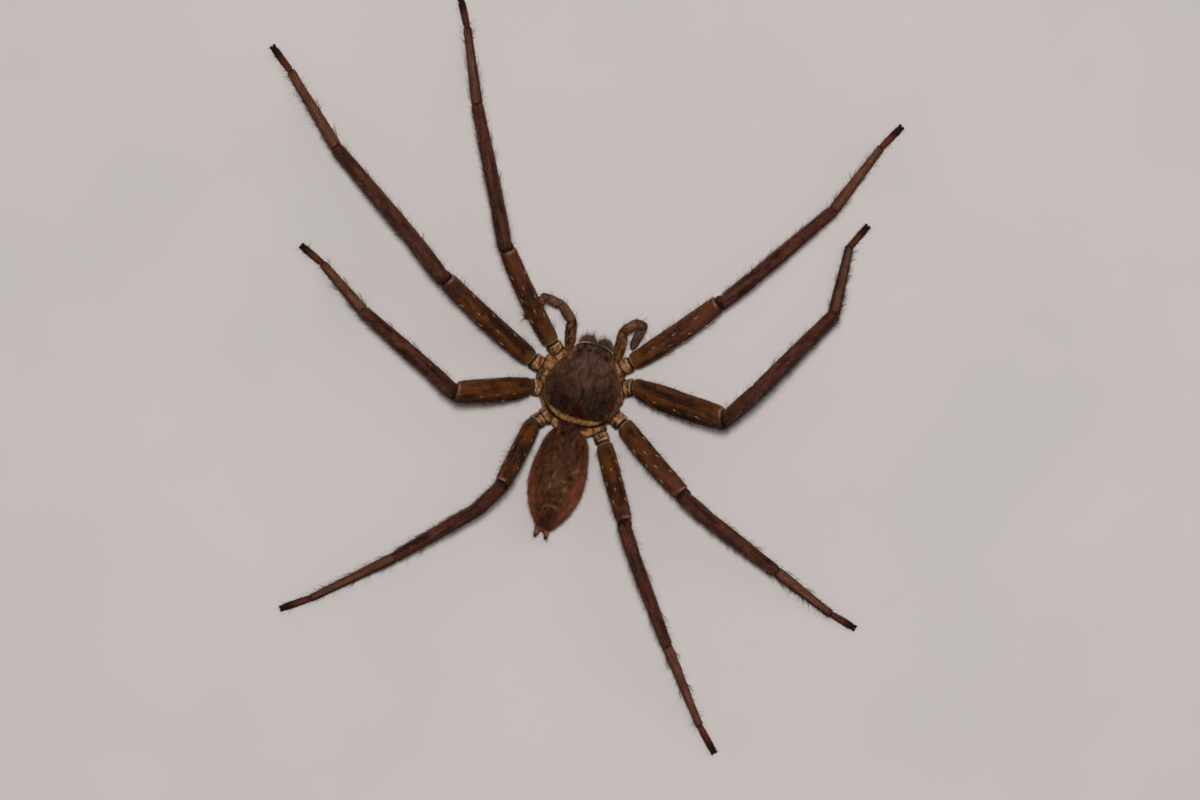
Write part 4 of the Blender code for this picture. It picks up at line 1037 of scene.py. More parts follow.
PLATE_BROWN = tone("#70482a")
LIP_BROWN = tone("#4a2a1c")
LOBE_BROWN = tone("#7a4a2c")
BENT_SPACING = 0.16


def plain_paint(zone, colour):
    return lambda x, y, up: (zone, colour)


def flank_paint(x, y, up):
    colour = tissue_tone(Vector((x, y, up))) * mix(1.0, 0.6, step(1.5, 2.8, y))
    # Painted shade underneath
    return "flesh", mix(colour, DEEP_BROWN, 0.7 * step(0.0, -0.6, up))


def waist_paint(x, y, up):
    """Reddish in the middle, ochre hip plates at both sides, and painted shade under the shield's edge and
    underneath.
    """
    spot = Vector((x, y, 1))
    plate = max(step(0.9, 1.3, x), step(-1.5, -1.9, x)) * step(-0.7, -0.2, noise.noise(spot * 2.2))
    tissue = mix(TAN, PINK_TAN, step(-0.1, 0.3, noise.noise(spot * 3))) * 1.3
    colour = mix(mix(WAIST_RED, PURPLE, 0.5 * step(-0.1, 0.3, noise.noise(spot * 2.6))), tissue, 0.85 * plate)
    # Painted shade under the shield's edge
    colour = mix(colour, EDGE_RED_AND_SHADE * 0.7, 0.92 * step(-5.48, -5.28, y) * step(2.2, 1.6, abs(x)))
    # Painted shade underneath
    colour = mix(colour, PURPLE * 0.5, 0.8 * step(0.25, -0.05, up))
    return "flesh", colour


def run_along(table):
    """Each row of a table as a place, the direction there and the sizes."""
    for number, (x, y, z, *sizes) in enumerate(table):
        before = Vector(table[max(number - 1, 0)][:3])
        after = Vector(table[min(number + 1, len(table) - 1)][:3])
        yield Vector((x, y, z)), (after - before).normalized(), sizes


def bent_limb(name, rows, sides, zone, colour, placed=BODY):
    """A short limb along a bent row of x, y, z, width and depth."""
    points = [placed @ Vector(row[:3]) for row in rows]
    lengths = [0.0]
    for before, after in zip(points, points[1:]):
        lengths.append(lengths[-1] + (after - before).length)
    fine = np.linspace(0.0, lengths[-1], max(3, int(lengths[-1] / BENT_SPACING)))
    table = smooth_curve(lengths, [(*point, *row[3:]) for point, row in zip(points, rows)], fine)
    stations = [Station(place, ahead, ahead, *sizes, 0.0, zone, mark / fine[-1], mark, fine[-1] - mark, mark)
                for mark, (place, ahead, sizes) in zip(fine, run_along(table))]
    return extrude_limb(name, stations, sides, 1,
                        lambda station, up, back, place: (zone, colour(station, up, back)))


def mirrored(rows, side):
    return [(side * row[0], *row[1:]) for row in rows]


def one_tone(colour):
    return lambda station, up, back: colour


under_skins = [
    make_soft_form("sternum", STERNUM, 40, 28, BODY, plain_paint("sternum", PLATE_BROWN)),
    make_soft_form("sides", SIDES, 96, 56, BODY @ Matrix.Translation((SIDES_SHIFT, 0, 0)), flank_paint),
    make_soft_form("waist", WAIST, 48, 28, BODY, waist_paint),
    make_soft_form("labium", LABIUM, 24, 16, BODY, plain_paint("sternum", LIP_BROWN)),
    bent_limb("stalk", PEDICEL, 20, "flesh", one_tone(mix(WAIST_RED, PURPLE, 0.7)), abdomen_matrix()),
]
for side in (-1, 1):
    under_skins.append(bent_limb("maxilla", mirrored(MAXILLA, side), 16, "sternum", one_tone(LOBE_BROWN)))
print("under parts:", len(under_skins))

# %% [markdown]
# ## Jaws and spinnerets
# The two jaws hang under the front of the shield, stout and furred, each with a fang at its end. Two
# pairs of short tubes at the end of the abdomen give out silk. They follow the solids' own rows. A thin
# cream ridge, the clypeus, runs along the shield's front margin above the jaws.

# %% Build the jaws, the spinnerets and the cream ridge
CHELICERA = (
    (1.00, 4.10, 3.95, 1.75, 1.10), (1.01, 4.45, 3.40, 1.94, 1.50), (1.02, 4.65, 2.70, 1.90, 1.60),
    (1.04, 4.80, 1.95, 1.64, 1.45), (1.06, 4.90, 1.40, 1.34, 1.14), (1.14, 4.98, 1.14, 1.06, 0.90),
    (1.22, 5.05, 0.98, 0.66, 0.60),
)
# Pairs of tubes as spread, height, start, end, width at the root and width at the end
SPINNERETS = ((0.66, 3.15, 12.3, 13.72, 0.62, 0.42), (0.36, 2.50, 12.3, 13.08, 0.50, 0.40))
SPINNERET_SIDE = -0.25
MOUND = ((-11.75, 0.0, 2.9, 2.9, 2.9), (-11.85, 0.5, 3.25, 2.9, 2.55), (-12.35, 0.9, 3.58, 2.9, 2.22),
         (-12.80, 0.6, 3.35, 2.9, 2.45), (-12.93, 0.0, 2.9, 2.9, 2.9))
JAW_BROWN = tone("#58402f")
SPINNERET_BROWN = tone("#6a3822")


def jaw_tone(station, up, back):
    return mix(JAW_BROWN, DEEP_BROWN, step(0.3, 1.0, station.share))


def tube_tone(station, up, back):
    # The segments' rings are made pale only on top: a painted highlight
    rings = 0.5 + 0.5 * math.cos(station.share * 2 * math.pi * 2)
    colour = mix(SPINNERET_BROWN, PALE_BROWN, 0.6 * rings * step(-0.2, 0.5, up))
    # Dark tips, and painted shade underneath
    return mix(colour, DEEP_BROWN, 0.9 * max(step(0.66, 0.90, station.share), step(0.5, -0.3, up)))


BROW_SIZES = (0.165, 0.105)
BROW_SHARES = (0.200, 0.165, 0.130, 0.100, 0.070, 0.045, 0.018)
BROW_CREAM = tone("#cdb888")


def brow_tone(station, up, back):
    """Cream, with a dark break right of the middle and a dimmer right end."""
    gap = bell(station.share - 0.57, 0.035)
    return mix(BROW_CREAM * mix(1.0, 0.75, step(0.5, 0.9, station.share)), DEEP_BROWN, 0.9 * gap)


def brow_rows():
    """The pale ridge along the shield's front margin, from one side to the other."""
    rows = []
    for side, shares in ((-1, BROW_SHARES), (1, BROW_SHARES[::-1])):
        for share in shares:
            y, half, _, rim, _ = read_sections(CARAPACE, share)
            size = BROW_SIZES[0] if side < 0 else BROW_SIZES[1]
            rows.append((side * (half - 0.03), y - 0.05, rim + 0.02, size, size * 0.9))
    return rows


tail_skins = [bent_limb("clypeus", brow_rows(), 10, "clypeus", brow_tone)]
for side in (-1, 1):
    tail_skins.append(bent_limb("jaw", mirrored(CHELICERA, side), 24, "jaw", jaw_tone))
    for spread, height, start, end, wide, narrow in SPINNERETS:
        sizes = ((0, wide), (0.45, wide * 0.98), (0.52, wide * 0.84), (0.9, narrow), (1, narrow * 0.55))
        rows = [(SPINNERET_SIDE + side * spread * (0.75 + 0.25 * share), -start - (end - start) * share,
                 height, width, width) for share, width in sizes]
        tail_skins.append(bent_limb("tube", rows, 16, "spinneret", tube_tone, abdomen_matrix()))
mound_at = abdomen_matrix() @ Matrix.Translation((SPINNERET_SIDE, 0, 0))
tail_skins.append(make_soft_form("mound", MOUND, 24, 14, mound_at, plain_paint("spinneret", SPINNERET_BROWN)))
print("shells:", len(SHELLS))

# %% [markdown]
# ## One skin
# All these shells overlap where they meet. A Boolean union turns them into one closed skin without
# inner walls, so that no seam shows and no fur grows inside.

# %% Join the shells to one skin


def join_shells(base, others):
    """Unite closed shells with the base in one Boolean, and remove them."""
    pool = bpy.data.collections.new("shells")
    bpy.context.scene.collection.children.link(pool)
    for other in others:
        bpy.context.scene.collection.objects.unlink(other)
        pool.objects.link(other)
    modifier = base.modifiers.new("union", "BOOLEAN")
    modifier.operation = "UNION"
    modifier.solver = "MANIFOLD"
    modifier.operand_type = "COLLECTION"
    modifier.collection = pool
    depsgraph = bpy.context.evaluated_depsgraph_get()
    mesh = bpy.data.meshes.new_from_object(base.evaluated_get(depsgraph))
    base.modifiers.clear()
    base.data = mesh
    for other in others:
        bpy.data.objects.remove(other, do_unlink=True)
    bpy.data.collections.remove(pool)
    base.name = "skin"
    mesh.name = "skin"
    mesh.shade_smooth()


skin = shield_skin
join_shells(skin, [abdomen_skin, *leg_skins, *knobs, *pad_skins, *palp_skins, *under_skins, *tail_skins])
print("skin:", len(skin.data.vertices), "points,", len(skin.data.polygons), "faces")

# %% [markdown]
# ## The notes come back
# The union makes new points, so the notes can't be carried over by number. A search tree finds the
# nearest old point for each new one, and its note is taken. Colour and grain are stored on the mesh,
# where the material can read them.

# %% Give each point of the skin its note
finder = KDTree(len(notes["place"]))
for number, place in enumerate(notes["place"]):
    finder.insert(place, number)
finder.balance()
nearest = np.array([finder.find(vert.co / MM)[1] for vert in skin.data.vertices])
field = {key: np.array(values)[nearest] for key, values in notes.items()}


def set_tint(mesh, values):
    """Store an opaque colour for each point of a mesh."""
    colours = np.hstack([values, np.ones((len(values), 1))])
    attribute = mesh.attributes.new("tint", "FLOAT_COLOR", "POINT")
    attribute.data.foreach_set("color", colours.astype(np.float32).ravel())


set_tint(skin.data, field["tint"])
grain_directions = skin.data.attributes.new("grain", "FLOAT_VECTOR", "POINT")
grain_directions.data.foreach_set("vector", field["grain"].astype(np.float32).ravel())
print("points noted:", len(nearest))

# %% [markdown]
# ## The skin's material
# A spider's shell is chitin, hard and a little glossy, and here it is covered by a felt of hairs that
# are too short to build one by one. Noise that is stretched along each limb gives that felt: it makes
# streaks in the colour and fine ridges in the bump. The pattern reads a stored grain direction, so it
# turns with each leg.

# %% Make the furred chitin
FELT_PER_MM = 5.0
PATCHES_PER_MM = 2.2
RIDGE_HEIGHT = 0.06


def make_skin_material():
    """Chitin under short fur: the marking's colour, streaked and ridged along the limb."""
    material, tree, surface = new_material("furred chitin")
    tint = add(tree, "ShaderNodeAttribute", {"attribute_name": "tint"}).outputs["Color"]
    grain = add(tree, "ShaderNodeAttribute", {"attribute_name": "grain"}).outputs["Vector"]
    felt = add(tree, "ShaderNodeTexNoise", sockets={
        "Vector": grain, "Scale": FELT_PER_MM, "Detail": 4.0, "Roughness": 0.6}).outputs["Fac"]
    cloud = add(tree, "ShaderNodeTexNoise", sockets={
        "Vector": grain, "Scale": PATCHES_PER_MM, "Detail": 2.0}).outputs["Fac"]
    streak = add(tree, "ShaderNodeMapRange", sockets={
        "Value": felt, "From Min": 0.3, "From Max": 0.7, "To Min": 0.55, "To Max": 1.35}).outputs["Result"]
    patch = add(tree, "ShaderNodeMapRange", sockets={
        "Value": cloud, "From Min": 0.3, "From Max": 0.7, "To Min": 0.70, "To Max": 1.30}).outputs["Result"]
    strength = add(tree, "ShaderNodeMath", {"operation": "MULTIPLY"}, {0: streak, 1: patch}).outputs[0]
    colour = add(tree, "ShaderNodeVectorMath", {"operation": "SCALE"}, {
        0: tint, "Scale": strength}).outputs[0]
    rough = add(tree, "ShaderNodeMapRange", sockets={
        "Value": felt, "To Min": 0.45, "To Max": 0.75}).outputs["Result"]
    bump = add(tree, "ShaderNodeBump", sockets={
        "Height": felt, "Strength": 0.6, "Distance": RIDGE_HEIGHT * MM}).outputs[0]
    shader = add(tree, "ShaderNodeBsdfPrincipled", sockets={
        "Base Color": colour, "Roughness": rough, "Normal": bump, "Specular IOR Level": 0.1})
    tree.links.new(shader.outputs[0], surface)
    return material


skin.data.materials.clear()
skin.data.materials.append(make_skin_material())
FLESH_NODES = [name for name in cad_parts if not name.startswith(("eye_", "fang_"))]
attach(skin, "root")
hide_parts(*FLESH_NODES)
print("skin stands for", len(FLESH_NODES), "solids")

# %% [markdown]
# ## Eyes
# A huntsman has eight eyes in two rows: four look ahead over the pale edge, four look up. Each is a
# smooth dark lens that mirrors the light. A sphere is the true shape of a lens, so each eye is a fine
# sphere. Its centre lies under the shield's top, so that it sits in its rim.

# %% Set the eyes
# How deep the centre lies, as a share of the radius, and the lens's size in its rim
EYE_SINK = 0.60
EYE_SCALE = 0.93
SLOPE_REACH = 0.05


def shield_height(x, y):
    """The height of the shield's top over a place of the body frame."""
    low, high = 0.0, 1.0
    for _ in range(30):
        share = (low + high) / 2
        if read_sections(CARAPACE, share)[0] > y:
            low = share
        else:
            high = share
    _, half_width, top, rim, _ = read_sections(CARAPACE, share)
    return rim + (top - rim) * math.sqrt(max(0.0, 1 - (x / half_width) ** 2))


def eye_centre(x, y, radius):
    """Where a lens of this radius is centred, in the body frame."""
    gap = SLOPE_REACH
    slope_x = (shield_height(x + gap, y) - shield_height(x - gap, y)) / (2 * gap)
    slope_y = (shield_height(x, y + gap) - shield_height(x, y - gap)) / (2 * gap)
    outward = Vector((-slope_x, -slope_y, 1)).normalized()
    return Vector((x, y, shield_height(x, y))) - outward * radius * EYE_SINK


def make_eye_material():
    """A lens of clear chitin over a dark ground: almost black, wet looking."""
    material, tree, surface = new_material("eye lens")
    depth = two_tone_noise(tree, "#0b0706", "#1e120d", 4.0)
    shader = add(tree, "ShaderNodeBsdfPrincipled", sockets={
        "Base Color": depth, "Roughness": 0.14, "Specular IOR Level": 0.25})
    tree.links.new(shader.outputs[0], surface)
    return material


def make_eyes():
    """Eight lenses in one piece."""
    bm = bmesh.new()
    for x, y, radius in EYES:
        for side in (-1, 1):
            lens = radius * EYE_SCALE
            place = Matrix.Translation(BODY @ eye_centre(side * x, y, lens))
            bmesh.ops.create_uvsphere(bm, u_segments=32, v_segments=20, radius=lens, matrix=place)
    eyes = make_object("eyes", bm)
    eyes.data.materials.append(make_eye_material())
    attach(eyes, "root")
    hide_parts(*[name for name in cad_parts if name.startswith("eye_")])


make_eyes()
print("eyes:", 2 * len(EYES))

# %% [markdown]
# ## Fangs and claws
# Fangs and claws are thick, smooth chitin, brown-black and glossy. Both are cones that are drawn out
# along a bend, so the limb's extrusion makes them too, without notes.

# %% Build fangs and claws
# Place and width of each ring of a fang, from its root in the jaw to its tip
FANG = ((1.26, 5.06, 1.20, 0.50), (1.32, 5.10, 1.00, 0.58), (1.28, 5.12, 0.78, 0.56),
        (1.02, 5.02, 0.58, 0.50), (0.66, 4.80, 0.50, 0.36), (0.36, 4.52, 0.52, 0.08))
FANG_RINGS = 17
FANG_SIDES = 16
CLAW_WIDTHS = ((0.0, 0.13), (0.35, 0.11), (0.7, 0.07), (1.0, 0.015))
CLAW_SIDES = 8


def bare_limb(bm, rows, sides):
    """Extrude one closed tube through rows of point, direction and width, without notes."""
    stations = [Station(point, ahead, ahead, width, width, 0.0, "", 0, 0, 0, 0)
                for point, ahead, width in rows]
    for _, vert, place, *_ in extrude_rings(bm, stations, sides):
        vert.co = place


def curved_rows(start, end, rise, widths):
    """Points with widths along a shallow arc from start to end that rises by a vector in the middle."""
    rows = []
    for share, width in widths:
        point = start.lerp(end, share) + rise * 4 * share * (1 - share)
        ahead = (end - start + rise * 4 * (1 - 2 * share)).normalized()
        rows.append((point, ahead, width))
    return rows


def make_horn_material():
    """Thick smooth chitin: brown-black and glossy."""
    material, tree, surface = new_material("polished chitin")
    depth = two_tone_noise(tree, "#180c0a", "#3a1d13", 2.5)
    shader = add(tree, "ShaderNodeBsdfPrincipled", sockets={
        "Base Color": depth, "Roughness": 0.25, "IOR": 1.56, "Coat Weight": 0.3})
    tree.links.new(shader.outputs[0], surface)
    return material


horn = make_horn_material()


def make_fangs():
    """Two bent fangs, from the ends of the jaws inwards."""
    bm = bmesh.new()
    for side in (-1, 1):
        rows = [(*(BODY @ Vector(row[:3])), row[3]) for row in mirrored(FANG, side)]
        table = smooth_curve(np.linspace(0, 1, len(rows)), rows, np.linspace(0, 1, FANG_RINGS))
        bare_limb(bm, [(place, ahead, width) for place, ahead, (width,) in run_along(table)], FANG_SIDES)
    fangs = make_object("fangs", bm)
    fangs.data.materials.append(horn)
    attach(fangs, "root")
    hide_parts("fang_l", "fang_r")


def make_claws():
    """Two small curved claws over the tuft of each foot."""
    bm = bmesh.new()
    for name in LEGS:
        ankle, tip = leg_joints(name)[-2:]
        ahead = (tip - ankle).normalized()
        across, _ = axes_of(ahead)
        for side in (-1, 1):
            root = tip - ahead * 0.15 + Vector((0, 0, 0.16)) + across * side * 0.12
            end = root + ahead * 0.42 + across * side * 0.10 - Vector((0, 0, 0.22))
            bare_limb(bm, curved_rows(root, end, Vector((0, 0, 0.09)), CLAW_WIDTHS), CLAW_SIDES)
    claws = make_object("claws", bm)
    claws.data.materials.append(horn)
    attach(claws, "root")


make_fangs()
make_claws()
print("fangs and claws made")

# %% [markdown]
# ## Spines
# The spines are hollow bristles that stand in rows on three parts of each leg. Each rises from a lighter
# socket, pale on the thigh, partly its own colour and partly a painted glint, and lies towards the foot.
# The solids carry them in the same rows, and a small seeded jitter keeps them from looking stamped.

# %% Build the spines of the legs
# Joint index, sections and width of a spine for thigh, shin and metatarsus, and for each spine its
# share along the part, angle round from the top and length
FEMUR_SPINES = ((0.28, 50, 1.5), (0.50, 46, 1.6), (0.74, 52, 1.6), (0.30, -48, 1.5), (0.52, -52, 1.6),
                (0.76, -46, 1.6), (0.40, 2, 1.3), (0.63, -3, 1.3))
TIBIA_SPINES = ((0.22, 78, 1.5), (0.62, 76, 1.5), (0.26, -78, 1.5), (0.66, -76, 1.5),
                (0.16, 152, 1.9), (0.48, 150, 1.9), (0.18, -152, 1.9), (0.50, -150, 1.9))
METATARSUS_SPINES = ((0.10, 84, 1.6), (0.48, 82, 1.5), (0.12, -84, 1.6), (0.50, -82, 1.5))
SPINE_TABLES = ((2, FEMUR, 0.12, FEMUR_SPINES), (4, TIBIA, 0.09, TIBIA_SPINES),
                (5, METATARSUS, 0.08, METATARSUS_SPINES))
# Share along a spine and its width there
SPINE_FORM = ((0.0, 1.1), (0.10, 1.2), (0.16, 0.92), (0.45, 0.85), (0.75, 0.55), (1.0, 0.08))
SPINE_SIDES = 8
SPINE_LEAN = math.radians(13.0)
SPINE_DARK = tone("#2a1a14")
SPINE_PALE_AND_GLINT = tone("#b0936a")
SPINE_BROWN = tone("#5e3a24")
draw = np.random.default_rng(17)


def make_bristle_material():
    """A stiff bristle: dark chitin, lighter at its socket, where the pale is partly a painted glint."""
    material, tree, surface = new_material("bristle chitin")
    tint = add(tree, "ShaderNodeAttribute", {"attribute_name": "tint"}).outputs["Color"]
    shader = add(tree, "ShaderNodeBsdfPrincipled", sockets={
        "Base Color": tint, "Roughness": 0.35, "IOR": 1.55})
    tree.links.new(shader.outputs[0], surface)
    return material


def at_rows(rows, share, length):
    """Width and depth of a leg segment at a share of its length."""
    marks = [row[0] * length + row[1] for row in rows]
    return smooth_curve(marks, [row[2:] for row in rows], [share * length])[0]


def spine_rows(name):
    """The rows of points for every spine of a leg."""
    front = side_of(name)
    joints = leg_joints(name)
    spines = []
    for index, rows, thick, table in SPINE_TABLES:
        start, end = joints[index], joints[index + 1]
        ahead = (end - start).normalized()
        across, upright = axes_of(ahead)
        thigh = rows is FEMUR
        bow, roll = femur_bend(name) if thigh else (Vector(), 0.0)
        for share, angle, length in table:
            share += draw.uniform(-0.02, 0.02)
            width, depth = at_rows(rows, share, (end - start).length) * STOUTNESS[LEGS[name].pair]
            middle = start.lerp(end, share) + bow * 4 * share * (1 - share)
            turn = math.radians(angle + draw.uniform(-6, 6))
            spoke = across * front * math.sin(turn) * width / 2 + upright * math.cos(turn) * depth / 2
            spoke = Matrix.Rotation(roll, 3, ahead) @ spoke
            outward = spoke.normalized()
            run = ahead * math.cos(SPINE_LEAN) + outward * math.sin(SPINE_LEAN)
            root = middle + spoke - run * 0.15 - outward * 0.06
            tip = middle + spoke + run * length * draw.uniform(0.85, 1.1)
            widths = [(mark, size * thick) for mark, size in SPINE_FORM]
            curve = curved_rows(root, tip, outward * 0.07 * length, widths)
            # On the thigh the socket is pale: partly its own colour, partly a painted glint
            spines.append((curve, SPINE_PALE_AND_GLINT if thigh else SPINE_BROWN))
    return spines


def make_spines():
    """All the spines in one piece, each lighter at its socket, the thigh's pale partly a painted glint, and
    dark from the middle on.
    """
    bm = bmesh.new()
    tints = []
    for name in LEGS:
        for rows, base in spine_rows(name):
            bare_limb(bm, rows, SPINE_SIDES)
            for share, _ in SPINE_FORM:
                tints += [mix(base, SPINE_DARK, step(0.14, 0.50, share))] * SPINE_SIDES
    spines = make_object("spines", bm)
    set_tint(spines.data, np.array(tints))
    spines.data.materials.append(make_bristle_material())
    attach(spines, "root")
    print("spines:", len(tints) // (len(SPINE_FORM) * SPINE_SIDES))


make_spines()

# %% [markdown]
# ## Fur
# Hair systems don't survive an export, so the fur is mesh: each hair is a thin, three-sided spike,
# straight or with one bend. Roots are scattered over the skin's triangles by area, seeded, so that every
# run grows the same coat. Length, thickness, lift and density depend on the part of the body.

# %% Measure the skin's triangles
skin.data.calc_loop_triangles()
corner = np.empty(len(skin.data.loop_triangles) * 3, np.int64)
skin.data.loop_triangles.foreach_get("vertices", corner)
corner = corner.reshape(-1, 3)


def read_points(key):
    """One vector for each point of the skin, as rows of an array."""
    values = np.empty(len(skin.data.vertices) * 3)
    skin.data.vertices.foreach_get(key, values)
    return values.reshape(-1, 3)


points = read_points("co") / MM
normals = read_points("normal")

# Blender doesn't number the faces alike in every run, so the triangles are put in order of place
rank = np.empty(len(points), np.int64)
rank[np.lexsort(points.T)] = np.arange(len(points))
corner = corner[np.lexsort(rank[corner].T)]
spans = np.cross(points[corner[:, 1]] - points[corner[:, 0]], points[corner[:, 2]] - points[corner[:, 0]])
areas = np.linalg.norm(spans, axis=1) / 2
triangle_zone = field["zone"][corner[:, 0]]
triangle_shell = field["shell"][corner[:, 0]]
middles = points[corner].mean(axis=1)
for title in ("shield", "abdomen", "femur", "tibia"):
    print(title, round(float(areas[triangle_zone == ZONE[title]].sum()), 1), "square mm")

# %% Scatter roots and grow hairs
PATCH_SIZE = 0.003
HAIR_SIDES = np.array([[-0.5, 0.0], [0.5, 0.0], [0.0, 0.8]])
# A hair lifted by fewer degrees than this lies down, and may pass the end of its segment by so many mm
LYING_BELOW = 35
RIM_OVERLAP = 0.08

# A straight hair has a ring and a tip, a bent one has a second ring half way
Shape = namedtuple("Shape", "rings faces patch")
STRAIGHT = Shape(((0.0, 1.0),), ((0, 2, 1), (0, 1, 3), (1, 2, 3), (2, 0, 3)),
                 ((-0.5, 0), (0.5, 0), (0, 0), (0, 1)))
BENT = Shape(((0.0, 1.0), (0.5, 0.72)),
             ((0, 2, 1), (0, 1, 4, 3), (1, 2, 5, 4), (2, 0, 3, 5), (3, 4, 6), (4, 5, 6), (5, 3, 6)),
             ((-0.5, 0), (0.5, 0), (0, 0), (-0.4, 0.5), (0.4, 0.5), (0, 0.5), (0, 1)))
# Lengths in mm and lift in degrees; root and tip multiply the skin's colour, pale is the share of pale
# hairs, free how far the fur leaves the surface, and vary how much neighbours differ
# dust turns the tips pale: partly the hairs' own paleness, partly a painted sheen
Coat = namedtuple("Coat", "shape length width lift curl stray root tip pale free vary sink dust",
                  defaults=(0.08, 0.0, 0.30, 0.04, 0.0))


def unit(vectors):
    return vectors / np.maximum(np.linalg.norm(vectors, axis=1, keepdims=True), 1e-9)


def scatter(density, rng):
    """Roots over the skin by density per square mm, with all that is known of the place of each."""
    weight = areas * density
    count = int(weight.sum())
    pick = rng.choice(len(weight), size=count, p=weight / weight.sum())
    one, two = rng.random((2, count))
    fold = one + two > 1
    one = np.where(fold, 1 - one, one)
    two = np.where(fold, 1 - two, two)
    shares = np.stack([1 - one - two, one, two], axis=1)[:, :, None]
    known = {**field, "place": points, "normal": normals}
    read = {key: (known[key][corner[pick]] * shares).sum(axis=1)
            for key in ("place", "normal", "lie", "tint", "flat", "room", "grain")}
    return {"triangle": pick, **read}


def unwrap(read):
    """Where each root lies on an unwrap of the skin: one strip for each shell, along by around."""
    row = np.searchsorted(np.unique(triangle_shell), triangle_shell[read["triangle"]])
    around = np.arctan2(read["flat"][:, 2], read["flat"][:, 1]) / (2 * math.pi) + 0.5
    along = 0.01 + 0.97 * np.clip(read["flat"][:, 0], 0, 1)
    return np.stack([along, (row + 0.02 + 0.95 * around) / len(SHELLS)], axis=1)


def hair_points(read, coat, rng):
    """The points of every hair: its three-sided rings and its tip."""
    count = len(read["triangle"])
    up = unit(read["normal"])
    lie = unit(read["lie"] + rng.normal(0, coat.stray, (count, 3)))
    run = unit(lie - up * (lie * up).sum(axis=1, keepdims=True))
    lift = np.radians(coat.lift * rng.uniform(0.6, 1.4, count))[:, None]
    ahead = unit((run * np.cos(lift) + up * np.sin(lift)) * (1 - coat.free) + lie * coat.free)
    across = unit(np.cross(up, ahead))
    over = np.cross(ahead, across)
    length = coat.length * rng.uniform(0.65, 1.15, count)[:, None]
    if coat.lift < LYING_BELOW:
        length = np.minimum(length, read["room"] + RIM_OVERLAP)
    width = coat.width * rng.uniform(0.75, 1.25, count)[:, None]
    root = read["place"] - up * coat.sink
    rings = []
    for share, size in coat.shape.rings:
        middle = root + length * (ahead * share - over * coat.curl * share ** 2)
        for side, high in HAIR_SIDES:
            rings.append(middle + across * side * width * size + over * high * width * size)
    rings.append(root + length * (ahead - over * coat.curl))
    return np.stack(rings, axis=1)


# %% [markdown]
# ## The colours of the hairs
# Each hair takes the colour of the skin at its root, a little lighter or darker than its neighbours. Two
# noises make patches and streaks of lighter and darker fur, and some coats have pale tips, partly the
# hairs' own paleness and partly a painted sheen of the light that fuzz catches at the edges. The colours
# are stored on the points, so one material serves every coat.

# %% Colour the hairs
MOTTLE = 0.8
MOTTLES_PER_MM = 2.3
STREAK_SHARE = 0.9
STREAKS_PER_MM = 3.2
DUST_AND_SHEEN = tone("#7c594b")
# Where the coat is thin the dark red skin shows, so that red fades least and blue most
HUE_POWERS = np.array([0.85, 1.10, 1.40])


def speckle(places, scale):
    """Smooth noise at each place, from about -0.7 to 0.7."""
    return np.fromiter(map(noise.noise, (places * scale).tolist()), float, len(places))


def hair_tints(read, coat, rng):
    """The colour of each hair's points: the skin's, lighter or darker, some pale, some with pale tips that
    are partly painted sheen.
    """
    count = len(read["triangle"])
    patches = MOTTLE * speckle(read["place"], MOTTLES_PER_MM)
    streaks = STREAK_SHARE * speckle(read["grain"], STREAKS_PER_MM)
    light = rng.lognormal(0, coat.vary, count) * np.exp(patches + streaks)
    pale = rng.random(count) < coat.pale
    light = np.where(pale, light * 2.0, light)[:, None, None]
    warm = rng.normal(0, 0.07, count)
    hue = np.stack([1 + warm, np.ones(count), 1 - warm], axis=1)[:, None, :]
    steps = [share for share, _ in coat.shape.rings for _ in range(3)] + [1.0]
    ramp = np.array([coat.root + (coat.tip - coat.root) * share for share in steps])[None, :, None]
    own = read["tint"][:, None, :] * ramp
    # Pale tips: painted sheen of the light on the fuzz, and the hairs' own paleness
    pale_tipped = own + (DUST_AND_SHEEN - own) * coat.dust * np.array(steps)[None, :, None]
    return np.clip(pale_tipped * light ** HUE_POWERS * hue, 0, 1)


def make_hair_material():
    """Hair of chitin: thin and almost matt, with a faint gloss, in the colour stored with each hair."""
    material, tree, surface = new_material("spider hair")
    tint = add(tree, "ShaderNodeAttribute", {"attribute_name": "tint"}).outputs["Color"]
    shader = add(tree, "ShaderNodeBsdfPrincipled", sockets={
        "Base Color": tint, "Roughness": 0.6, "Specular IOR Level": 0.06})
    tree.links.new(shader.outputs[0], surface)
    return material


hair = make_hair_material()
print("faces of a straight and a bent hair:", len(STRAIGHT.faces), len(BENT.faces))

# %% [markdown]
# ## A coat as one mesh
# Some 350,000 hairs as objects would choke the scene, and one bmesh call for each would take too long.
# So the points and faces of all the hairs of a coat are worked out as arrays and handed to one mesh at
# once. Each hair has a small patch of its own on the unwrap.

# %% Join the hairs of one coat to a mesh
HAIR_FLOOR = 0.01
HAIR_CEILING = 13.0
triangles_used = {}


